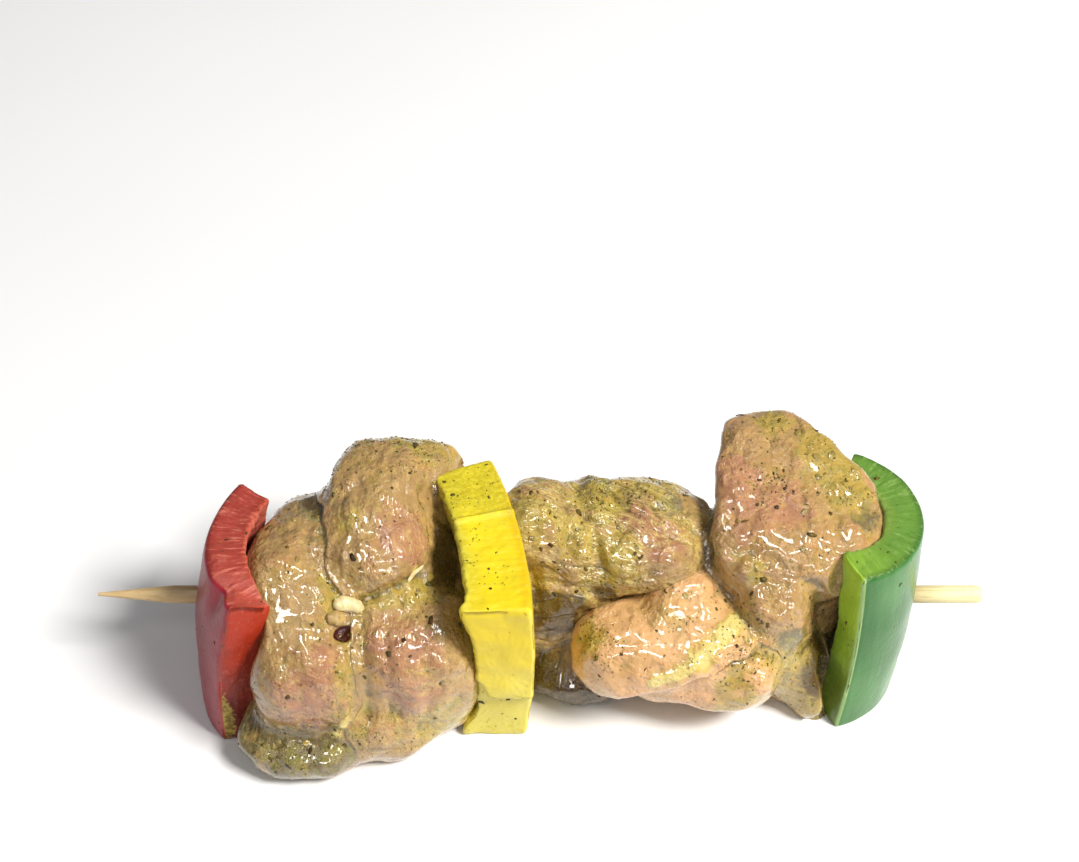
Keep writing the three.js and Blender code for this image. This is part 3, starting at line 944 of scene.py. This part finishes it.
def meat_surface(name, settings, seed):
    """The grid of a piece of chicken and its attributes. Rays from its middle on the stick find its smooth
    shape, the rings next to the stick are opened to its radius by (r^4 + hole^4)^(1/4), and then lumps,
    fibres, creases and pits move the surface along its normals."""
    meat = MEATS[name]
    around, along = int(settings.around * DETAIL), int(settings.along * DETAIL)
    middle = np.array([meat["x"], 0, STICK_Z])
    polar = np.linspace(0, math.pi, along)[:, None]
    turn = np.arange(around)[None, :] * 2 * math.pi / around
    ring = np.stack([np.zeros_like(turn), np.cos(turn), np.sin(turn)], -1)
    axis = np.array([-1.0, 0, 0])
    rays = np.sin(polar)[..., None] * ring + np.cos(polar)[..., None] * axis
    r = leaving(middle, rays.reshape(-1, 3), name).reshape(along, around)
    hole = (STICK_HIGH[2] - STICK_LOW[2]) / 2 + 0.05
    wide = ((r * np.sin(polar)) ** 4 + hole**4) ** 0.25
    grid = middle + wide[..., None] * ring + (r * np.cos(polar))[..., None] * axis

    shape = (along, around)
    flat = grid.reshape(-1, 3)
    ways = ways_out(grid, middle).reshape(-1, 3)
    ends = polar.repeat(around, 1).ravel()
    free = 0.1 + 0.9 * smooth(-contact(flat, name), 0, 1.6)
    free *= smooth(ends, 0, 0.12)
    free *= smooth(ends, math.pi, math.pi - 0.12)
    ragged = layers(flat, 3.5, seed + 20, 2)
    kinds = {kind: spot_share(flat, name, kind, ragged) for kind in SPOT_KINDS}

    grain = np.array(meat["grain"]) / np.linalg.norm(meat["grain"])
    side = unit(np.cross(grain, (0.1, 0.2, 1.0)))
    frame_of_grain = np.stack([grain, side, np.cross(grain, side)], -1)
    warp = np.stack([noise(flat, 11, seed + k) for k in (30, 31, 32)], -1) * 3.0
    strands = (flat + warp) @ frame_of_grain

    rise = settings.lumps * layers(flat, 8.5, seed, 2)
    rough = 0.45 + 1.3 * meat["fibres"]
    rise += 0.2 * rough * settings.lumps * noise(flat, 3.6, seed + 4)
    folds = np.sqrt(noise(flat + warp * 0.6, (6.5, 4, 4), seed + 6) ** 2 + 0.004)
    rise += 0.45 * rough * settings.lumps * (0.35 - folds).clip(-0.4, 0.35)
    rise += 0.7 * meat["fibres"] * noise(strands, (20, 2.8, 2.8), seed + 8)
    bundles = layers(strands, (26, 7, 7), seed + 16, 2)
    furrows = settings.furrows * min(1.2, 3 * meat["fibres"])
    rise -= furrows * np.exp(-((bundles / 0.07) ** 2))
    rise -= 0.4 * furrows * np.exp(-((noise(strands, (14, 3.2, 3.2), seed + 18) / 0.12) ** 2))
    rise += 0.6 * kinds["membrane"] * noise(flat, 4.5, seed + 12)
    rise += 0.3 * kinds["cream"] - 1.3 * kinds["blood"]
    rise += creased(flat, ways, name)
    grid = (flat + ways * (rise * free)[:, None]).reshape(*shape, 3)
    grid[..., 2] = np.maximum(grid[..., 2], 0)

    normals = ways_out(grid, middle)
    hollow = ((spread_out(grid, int(34 * DETAIL)) - grid) * normals).sum(-1)
    fine = ((spread_out(grid, int(6 * DETAIL)) - grid) * normals).sum(-1)
    values = {key: value.reshape(shape) for key, value in kinds.items()}
    # hollow also drives painted shade in the colour: concave places and the seams with other pieces are
    # darkened; marinade and herbs gather there as well.
    seam = smooth(-contact(flat, name, blended=False), 3.2, 0.2).reshape(shape)
    values["hollow"] = np.clip(hollow * 1.8 + fine * 2.5 + 0.35 * seam, -1, 1.6)
    values["fibre"] = strands.reshape(*shape, 3)
    keep_surface(name, grid, normals, 1.0, free, values["hollow"], kinds["marinade"])
    return tunnel_closed(grid, values)


# ---- Things scattered on the food --------------------------------------------------------------------

SURFACES = {}


def chosen_points(count, rng, weigh):
    """Random places on the food's surface, with the ways out. weigh gives each surface's own weights, which
    count together with the area around each of its points."""
    joined = {key: np.concatenate([s[key] for s in SURFACES.values()])
              for key in ("points", "ways", "around", "along")}
    weights = np.concatenate([weigh(s) * s["share"] * area(s) for s in SURFACES.values()])
    picked = rng.choice(len(weights), size=count, p=weights / weights.sum())
    here = {key: values[picked] for key, values in joined.items()}
    shift = rng.uniform(-0.5, 0.5, (2, count, 1))
    return here["points"] + shift[0] * here["around"] + shift[1] * here["along"], here["ways"]


def area(surface):
    return np.linalg.norm(np.cross(surface["around"], surface["along"]), axis=-1)


def keep_surface(name, grid, ways, share, free, hollow, marinade):
    """Keeps a piece's surface for what is scattered on it: its points, the steps to their neighbours, the
    ways out, and how much of the garnish it takes."""
    around = (np.roll(grid, -1, 1) - np.roll(grid, 1, 1)) / 2
    along = np.gradient(grid, axis=0)
    SURFACES[name] = dict(points=grid.reshape(-1, 3), ways=ways.reshape(-1, 3), share=share,
                          around=around.reshape(-1, 3), along=along.reshape(-1, 3), free=free.ravel(),
                          hollow=hollow.ravel(), marinade=marinade.ravel())


def herb_weights(surface, even):
    """Herbs lie on what faces up and out: evenly, by this share, and in drifts, in the marinade and in the
    patches listed."""
    points, ways = surface["points"], surface["ways"]
    drift = smooth(layers(points, 9.0, 91, 3), 0.05, 0.7)
    facing = smooth(ways[:, 2], -0.35, 0.5) * surface["free"]
    pooled = surface["marinade"] + smooth(surface["hollow"], 0.1, 0.7)
    weights = (even + 0.9 * drift + 0.5 * pooled) * facing
    for at, radius, share in HERB_PATCHES:
        away = np.linalg.norm(points - np.array(at), axis=-1)
        weights += share * 0.16 * np.exp(-((away / radius) ** 2)) * facing
    return weights


def sitting_axes(ways, rng, tilt):
    """Three axes for each bit: two along the surface, turned by chance and tilted a little, and one out."""
    out = unit(ways + tilt * rng.normal(size=ways.shape))
    first = unit(np.cross(out, rng.normal(size=ways.shape)))
    return first, np.cross(out, first), out


def scattered_mesh(name, places, axes, outline, shades):
    """Joins copies of a small closed shape. outline holds each copy's own points in its own axes."""
    first, second, out = axes
    points, faces = outline
    count, corners = points.shape[:2]
    world = (places[:, None] + points[..., :1] * first[:, None] + points[..., 1:2] * second[:, None]
             + points[..., 2:] * out[:, None])
    all_faces = (faces[None] + (np.arange(count) * corners)[:, None, None]).reshape(-1, 3)
    flat = world.reshape(-1, 3)
    flat[:, 2] = np.maximum(flat[:, 2], 0)
    return make_mesh(name, flat, [all_faces], {"shade": np.repeat(shades, corners)})


def lens_outline(lengths, widths, heights, jitter, rng, sides=7):
    """A closed lens for each bit: a ring of uneven radius with a point above it and one below."""
    count = len(lengths)
    turn = np.arange(sides) * 2 * math.pi / sides + rng.uniform(-0.3, 0.3, (count, sides))
    radius = 1 + jitter * rng.uniform(-1, 1, (count, sides))
    ring = np.stack([lengths[:, None] * radius * np.cos(turn), widths[:, None] * radius * np.sin(turn),
                     heights[:, None] * rng.uniform(-0.6, 0.6, (count, sides))], -1)
    tips = np.zeros((count, 2, 3))
    tips[:, 0, 2], tips[:, 1, 2] = heights, -heights
    here = np.arange(sides)
    after = (here + 1) % sides
    upper = np.stack([here, after, np.full(sides, sides)], -1)
    lower = np.stack([after, here, np.full(sides, sides + 1)], -1)
    return np.concatenate([ring, tips], 1), np.concatenate([upper, lower])


def dome_outline(radii, heights, rng, sides=12, rings=4):
    """A closed drop for each bit: rings on an ellipsoid's section, from its crown to its underside."""
    count = len(radii)
    polar = np.linspace(0, math.pi, rings + 2)[1:-1]
    turn = np.arange(sides) * 2 * math.pi / sides
    uneven = 1 + 0.14 * np.sin(2 * turn + rng.uniform(0, 6, (count, 1))) + 0.08 * np.sin(
        3 * turn + rng.uniform(0, 6, (count, 1)))
    flat = radii[:, None, None] * np.sin(polar)[None, :, None] * uneven[:, None]
    up = np.broadcast_to(heights[:, None, None] * np.cos(polar)[None, :, None], flat.shape)
    points = np.stack([flat * np.cos(turn), flat * np.sin(turn), up], -1).reshape(count, -1, 3)
    tips = np.zeros((count, 2, 3))
    tips[:, 0, 2], tips[:, 1, 2] = heights, -heights
    here = np.arange(sides)
    after = (here + 1) % sides
    top, bottom = rings * sides, rings * sides + 1
    faces = [np.stack([here, after, np.full(sides, top)], -1)]
    for k in range(rings - 1):
        a, b = k * sides + here, k * sides + after
        faces += [np.stack([a, a + sides, b], -1), np.stack([b, a + sides, b + sides], -1)]
    last = (rings - 1) * sides
    faces.append(np.stack([last + after, last + here, np.full(sides, bottom)], -1))
    return np.concatenate([points, tips], 1), np.concatenate(faces)


def bead(points, radii, rows=48, sides=20):
    """The grid of a soft bead that lies on the meat: circles of the radii given, flattened against the
    surface and rounded at both ends, along a smooth line. Each of its points drops from the front and above
    onto the meat."""
    places, ways = (np.concatenate([SURFACES[name][key] for name in MEATS]) for key in ("points", "ways"))
    above = np.array([0, -1, 1]) / math.sqrt(2)
    nearest = []
    for point in points:
        away = places - np.array(point)
        beside = ((away - (away @ above)[:, None] * above) ** 2).sum(-1)
        nearest.append((away @ above - 4 * beside).argmax())
    share = np.linspace(0, 1, rows)
    at = np.linspace(0, 1, len(points))
    line, out = (np.stack([np.interp(share, at, values[nearest, k]) for k in range(3)], -1)
                 for values in (places, ways))
    wide = np.interp(share, at, radii) * np.sqrt(np.clip(np.minimum(share, 1 - share) * 8, 0.02, 1))
    line += out * wide[:, None] * 0.35
    for _ in range(12):
        line[1:-1] = (line[:-2] + line[2:] + 2 * line[1:-1]) / 4
    run = unit(np.gradient(line, axis=0))
    across = unit(np.cross(run, out))
    up = np.cross(across, run)
    turn = np.arange(sides) * 2 * math.pi / sides
    grid = line[:, None] + wide[:, None, None] * (
        across[:, None] * np.cos(turn)[None, :, None] + 0.75 * up[:, None] * np.sin(turn)[None, :, None])
    bumps = 0.12 * layers(grid.reshape(-1, 3), 1.4, 77, 2).reshape(rows, sides)
    grid = grid + (grid - line[:, None]) * bumps[..., None]
    return grid, 0.5 + bumps * 3


# ---- Operators ---------------------------------------------------------------------------------------


def add_pepper(name, material, settings, seed, uneven, shape, near, paint):
    grid, values = pepper_surface(name, settings, seed, uneven, shape, near)
    values["marinade"] = paint(grid.reshape(-1, 3)).reshape(grid.shape[:2])
    mesh = grid_mesh(name, grid, False, values)
    ways = ways_out(grid, grid.mean((0, 1)))
    keep_surface(name, grid, ways, 0.45, 1 - 0.9 * values["skin"], 0 * values["skin"], values["marinade"])
    return put_object(name + "_wall", mesh, material, [name])


class KEBAB_OT_stick(bpy.types.Operator):
    """Turns the stick: a profile carried around X, with a point at one end and a blunt other end"""

    bl_idname = "kebab.stick"
    bl_label = "Wooden stick"

    def execute(self, context):
        settings = context.scene.kebab.stick
        low, high = STICK_LOW[0], STICK_HIGH[0]
        radius, sides = (STICK_HIGH[2] - STICK_LOW[2]) / 2, 28
        along = np.concatenate([low + np.linspace(0, 1, 40) ** 1.5 * settings.point,
                                np.linspace(low + settings.point, high, 160)[1:]])
        full = smooth((along - low) / settings.point, -0.35, 1.0) * 1.1
        blunt = np.sqrt(np.clip((high - along) / 0.35, 0, 1) * 0.25 + 0.75)
        width = radius * np.clip(full, 0.12, 1) * blunt
        turn = np.arange(sides)[None, :] * 2 * math.pi / sides
        ring = np.stack([np.zeros_like(turn), np.cos(turn), np.sin(turn)], -1)
        grid = np.array([0, 0, STICK_Z]) + width[:, None, None] * ring
        grid[..., 0] = along[:, None]
        flat, ways = grid.reshape(-1, 3), ring.repeat(len(along), 0).reshape(-1, 3)
        grain = 0.05 * noise(flat, (9, 0.7, 0.7), 3) + 0.02
        flat = flat + ways * grain[:, None] * np.clip(full, 0, 1).repeat(sides)[:, None]
        grid = flat.reshape(grid.shape)
        # How near each ring is to the food, for the painted shade and the damp gloss of the wood.
        food_ends, damp_and_shade_reach = (-68, 76), 9
        near = [np.abs(along[:, None] - x) / damp_and_shade_reach for x in food_ends]
        damp_and_shade = np.clip(1 - np.minimum(*near), 0, 1) ** 1.5 * np.ones((1, sides))
        mesh = grid_mesh("stick", grid, False, {"damp_and_shade": damp_and_shade})
        put_object("stick_wood", mesh, wood_finish("wood", settings), ["stick"])
        return {"FINISHED"}


class KEBAB_OT_peppers(bpy.types.Operator):
    """Makes the three pieces of pepper: cut walls with rounded edges, bent into arcs"""

    bl_idname = "kebab.peppers"
    bl_label = "Peppers"

    def execute(self, context):
        settings = context.scene.kebab.pepper
        red = pepper_finish("red_pepper", self.tones(
            tuple(settings.red), edge=(124, 34, 28), core=(158, 58, 36), near=(170, 76, 60),
            end_top=(168, 48, 22), end_foot=(106, 28, 14), skin=(138, 20, 36), sheen=(166, 38, 56),
            streak=(196, 108, 90), line=(164, 56, 46), contrast=1.0), 0.05)
        yellow = pepper_finish("yellow_pepper", self.tones(
            tuple(settings.yellow), edge=(214, 170, 10), core=(196, 182, 40), near=(232, 204, 14),
            end_top=(222, 196, 26), end_foot=(216, 202, 92), skin=(204, 172, 22), sheen=(216, 190, 50),
            streak=(226, 212, 80), line=(222, 206, 80), contrast=0.35), 0.3,
            ((174, 162, 30), (204, 188, 50)))
        green = pepper_finish("green_pepper", self.tones(
            tuple(settings.green), edge=(34, 78, 24), core=(112, 140, 52), near=(126, 162, 48),
            end_top=(164, 204, 54), end_foot=(84, 110, 14), skin=(44, 98, 38), sheen=(84, 134, 74),
            streak=(134, 166, 88), line=(150, 184, 112), contrast=0.7), 0.4)
        add_pepper("red_pepper", red, settings, 11, 0.7, self.red_shape, -1, self.red_film)
        add_pepper("yellow_pepper", yellow, settings, 23, 0.5, self.yellow_shape, 1, self.yellow_film)
        add_pepper("green_pepper", green, settings, 37, 0.4, self.green_shape, 1, self.green_film)
        return {"FINISHED"}

    @staticmethod
    def tones(cut, contrast, **others):
        return {"cut": cut, "contrast": contrast, **{key: shown(*levels) for key, levels in others.items()}}

    @staticmethod
    def red_film(points):
        """Marinade on the foot of the red pepper's near end."""
        away = np.linalg.norm((points - np.array([-64, -21, 7])) / np.array([3.5, 4.5, 9.0]), axis=-1)
        return 1.4 * smooth(away, 1.2, 0.3)

    @staticmethod
    def yellow_film(points):
        """Marinade on the far part of the yellow pepper's top and on its foot."""
        top = 0.75 * smooth(points[:, 1], -6, 8) * smooth(points[:, 2], 34, 40)
        return np.maximum(top, 0.4 * smooth(points[:, 2], 8, 4))

    @staticmethod
    def green_film(points):
        """Marinade in the green pepper's hollow."""
        return 0.4 * smooth(points[:, 0], 68, 62) * smooth(points[:, 1], -6, 0)

    @staticmethod
    def red_shape(along, up, through):
        """The near end is cut on a slant, its top slopes down inwards, and its rim is pinched."""
        top = smooth(up, 8, 19)
        pinch = np.exp(-(((along + 10) / 2.6) ** 2)) * top
        slope = smooth(-along, 7, 16) * top * smooth(through, 3, -4)
        through = through - 1.8 * pinch * smooth(through, -1, 3.5)
        down = 2.6 * slope + 1.1 * pinch * smooth(through, 0, 3)
        return along + 0.45 * through * smooth(-along, 3, 16), up - down, through

    @staticmethod
    def green_shape(along, up, through):
        """The near end is cut on a slant, so that the skin is shorter than the inner side."""
        return along - 0.24 * (through + 3.9) * smooth(along, 6, 19), up, through

    @staticmethod
    def yellow_shape(along, up, through):
        """A low ridge crosses the top, a lip hangs over its inner side, and the foot is set back and curls
        out at its inner side."""
        ridge = 0.7 * np.exp(-(((along + 5) / 0.7) ** 2)) * smooth(up, 12, 20)
        inner = smooth(through, 1, -5)
        lip = 1.6 * np.exp(-(((along - 18) / 1.8) ** 2) - ((up - 18) / 4) ** 2) * inner
        border = -6.5 + 6 * smooth(-through, 2.5, 6)
        step = 1.5 * smooth(border - up, -0.3, 0.6) * smooth(along, 14, 19)
        curl = 2.6 * smooth(up, -13, -18) * smooth(along, 10, 17) * inner
        return along - step, up + ridge, through - lip - curl


class KEBAB_OT_chicken(bpy.types.Operator):
    """Makes the five pieces of chicken, each a surface around the stick"""

    bl_idname = "kebab.chicken"
    bl_label = "Chicken"

    def execute(self, context):
        settings = context.scene.kebab.meat
        for number, (name, meat) in enumerate(MEATS.items()):
            grid, values = meat_surface(name, settings, 100 + 50 * number)
            material = meat_finish(name, settings, meat["fibres"], meat["pale"])
            put_object(name + "_meat", grid_mesh(name, grid, True, values), material, [name])
        return {"FINISHED"}


class KEBAB_OT_fat(bpy.types.Operator):
    """Lays the beads of fat between the first two pieces of chicken, and a sinew"""

    bl_idname = "kebab.fat"
    bl_label = "Fat"

    def execute(self, context):
        fat = shaded_finish("fat", shown(196, 170, 110), shown(238, 226, 176), 0.3, 0.6)
        tan = shaded_finish("fat_lobe", shown(150, 116, 62), shown(204, 176, 112), 0.3, 0.6)
        beads = (
            ("fat_bead", fat, (1.1, 1.5, 1.6, 1.3),
             ((-33.9, -12, 30.6), (-36.2, -11.8, 31.4), (-38, -12, 32), (-39.6, -12.8, 32))),
            ("fat_lobe", tan, (1.2, 1.6, 0.9),
             ((-37.7, -14.6, 30.4), (-39.2, -15, 31), (-40.8, -15.2, 31.4))),
            ("sinew", fat, (0.35, 0.5, 0.3), ((-22.6, -6.2, 36), (-24.4, -7, 34.6), (-25.6, -8, 33.4))),
        )
        for name, material, radii, points in beads:
            grid, shade = bead(points, radii)
            put_object(name, grid_mesh(name, grid, False, {"shade": shade}), material)
        return {"FINISHED"}


class KEBAB_OT_garnish(bpy.types.Operator):
    """Scatters the herbs, the ground spice and the drops of marinade over the food"""

    bl_idname = "kebab.garnish"
    bl_label = "Herbs and marinade"

    def execute(self, context):
        settings = context.scene.kebab.garnish
        rng = np.random.default_rng(7)
        self.herbs(settings.herbs, rng)
        self.crumbs(settings.crumbs, rng)
        self.drops(settings.drops, rng)
        return {"FINISHED"}

    def herbs(self, count, rng):
        places, ways = chosen_points(count, rng, lambda surface: herb_weights(surface, 0.7))
        lengths = rng.lognormal(math.log(0.34), 0.45, count).clip(0.15, 1.2)
        widths = lengths * rng.uniform(0.4, 0.85, count)
        outline = lens_outline(lengths, widths, rng.uniform(0.05, 0.11, count), 0.35, rng)
        mesh = scattered_mesh("herbs", places + ways * 0.03, sitting_axes(ways, rng, 0.12), outline,
                              rng.uniform(0, 1, count))
        finish = shaded_finish("herbs", shown(56, 38, 12), shown(104, 88, 30), 0.4)
        put_object("herb_flakes", mesh, finish)

    def crumbs(self, count, rng):
        places, ways = chosen_points(count, rng, lambda surface: herb_weights(surface, 0.05))
        sizes = rng.uniform(0.07, 0.24, count)
        outline = lens_outline(sizes, sizes * rng.uniform(0.5, 1, count), sizes * 0.5, 0.3, rng, 5)
        mesh = scattered_mesh("crumbs", places + ways * 0.03, sitting_axes(ways, rng, 0.3), outline,
                              rng.uniform(0, 1, count))
        finish = shaded_finish("crumbs", shown(54, 56, 12), shown(150, 146, 38), 0.45)
        put_object("herb_crumbs", mesh, finish)

    def drops(self, count, rng):
        def weigh(surface):
            wet = surface["marinade"] + smooth(surface["hollow"], 0.1, 0.8)
            meat = surface["share"] == 1
            return (0.05 + wet) * smooth(surface["ways"][:, 2], 0.1, 0.7) * surface["free"] * meat

        places, ways = chosen_points(count, rng, weigh)
        radii = rng.lognormal(math.log(0.42), 0.4, count).clip(0.18, 1.1)
        outline = dome_outline(radii, radii * rng.uniform(0.2, 0.35, count), rng)
        mesh = scattered_mesh("drops", places, sitting_axes(ways, rng, 0.08), outline,
                              rng.uniform(0, 1, count))
        finish = shaded_finish("marinade_drops", shown(124, 104, 44), shown(164, 142, 70), 0.08, 1.0)
        put_object("marinade_drops", mesh, finish)


class KEBAB_OT_stage(bpy.types.Operator):
    """Lays the floor and sets the camera, the lights and the sky"""

    bl_idname = "kebab.stage"
    bl_label = "Stage"

    def execute(self, context):
        settings = context.scene.kebab.stage
        self.floor(context)
        self.camera(context, settings)
        white = (1.0, 0.98, 0.95)
        self.light(context, "key", (0.68, -0.3, 0.92), (0.35, 0.35), settings.key, white, mirrored=False)
        self.light(context, "fill", (-0.1, -0.7, 1.1), (0.7, 0.5), settings.fill, white, mirrored=False)
        rows = ((-0.02, 0.6), (-0.27, 0.56), (-0.5, 0.36))
        for number, (x, (y, z)) in enumerate(itertools.product((-0.24, -0.04, 0.16, 0.36), rows)):
            panel = self.light(context, f"panel_{number}", (x, y, z), (0.1, 0.05), settings.panels, white)
            panel.visible_diffuse = False
        world = bpy.data.worlds.new("studio")
        world.use_nodes = True
        background = world.node_tree.nodes["Background"]
        background.inputs["Color"].default_value = (0.93, 0.96, 1.0, 1)
        background.inputs["Strength"].default_value = 0.17
        context.scene.world = world
        context.scene.view_settings.view_transform = "Standard"
        return {"FINISHED"}

    def floor(self, context):
        half = 1.5
        mesh = bpy.data.meshes.new("floor")
        corners = [(-half, -half, 0), (half, -half, 0), (half, half, 0), (-half, half, 0)]
        mesh.from_pydata(corners, [], [(0, 1, 2, 3)])
        floor = bpy.data.objects.new("floor", mesh)
        mesh.materials.append(floor_finish("floor"))
        context.scene.collection.objects.link(floor)

    def camera(self, context, settings):
        camera = bpy.data.objects.new("camera", bpy.data.cameras.new("camera"))
        camera.data.lens = settings.lens
        camera.data.sensor_width = 36
        camera.data.clip_start = 0.01
        stick = Vector(STICK_MIDDLE * MM)
        camera.location = stick + Vector((0, -settings.behind, settings.above))
        camera.rotation_euler = (math.radians(90) - settings.tilt, 0, 0)
        context.scene.collection.objects.link(camera)
        context.scene.camera = camera

    def light(self, context, name, place, size, power, colour, mirrored=True):
        light = bpy.data.lights.new(name, "AREA")
        light.shape = "RECTANGLE"
        light.size, light.size_y = size
        light.energy = power
        light.color = colour
        lamp = bpy.data.objects.new(name, light)
        lamp.location = place
        lamp.visible_glossy = mirrored
        lamp.rotation_euler = (-Vector(place)).to_track_quat("-Z", "Y").to_euler()
        context.scene.collection.objects.link(lamp)
        return lamp


class KEBAB_PT_panel(bpy.types.Panel):
    """Lists the kebab's pieces and their settings"""

    bl_idname = "KEBAB_PT_panel"
    bl_label = "Chicken kebab"
    bl_space_type = "VIEW_3D"
    bl_region_type = "UI"
    bl_category = "Kebab"

    def draw(self, context):
        for operator in OPERATORS:
            self.layout.operator(operator.bl_idname)
        for group in ("meat", "pepper", "stick", "garnish", "stage"):
            box = self.layout.box()
            box.label(text=group.capitalize())
            settings = getattr(context.scene.kebab, group)
            for key in settings.__annotations__:
                box.prop(settings, key)


GROUPS = (KebabMeatSettings, KebabPepperSettings, KebabStickSettings, KebabGarnishSettings,
          KebabStageSettings, KebabSettings)
OPERATORS = (KEBAB_OT_stage, KEBAB_OT_stick, KEBAB_OT_peppers, KEBAB_OT_chicken, KEBAB_OT_fat,
             KEBAB_OT_garnish)


def register():
    for made in (*GROUPS, *OPERATORS, KEBAB_PT_panel):
        bpy.utils.register_class(made)
    bpy.types.Scene.kebab = PointerProperty(type=KebabSettings)


def unregister():
    del bpy.types.Scene.kebab
    for made in reversed((*GROUPS, *OPERATORS, KEBAB_PT_panel)):
        bpy.utils.unregister_class(made)


def main():
    register()
    for operator in OPERATORS:
        group, name = operator.bl_idname.split(".")
        getattr(getattr(bpy.ops, group), name)()


if __name__ == "__main__":
    main()
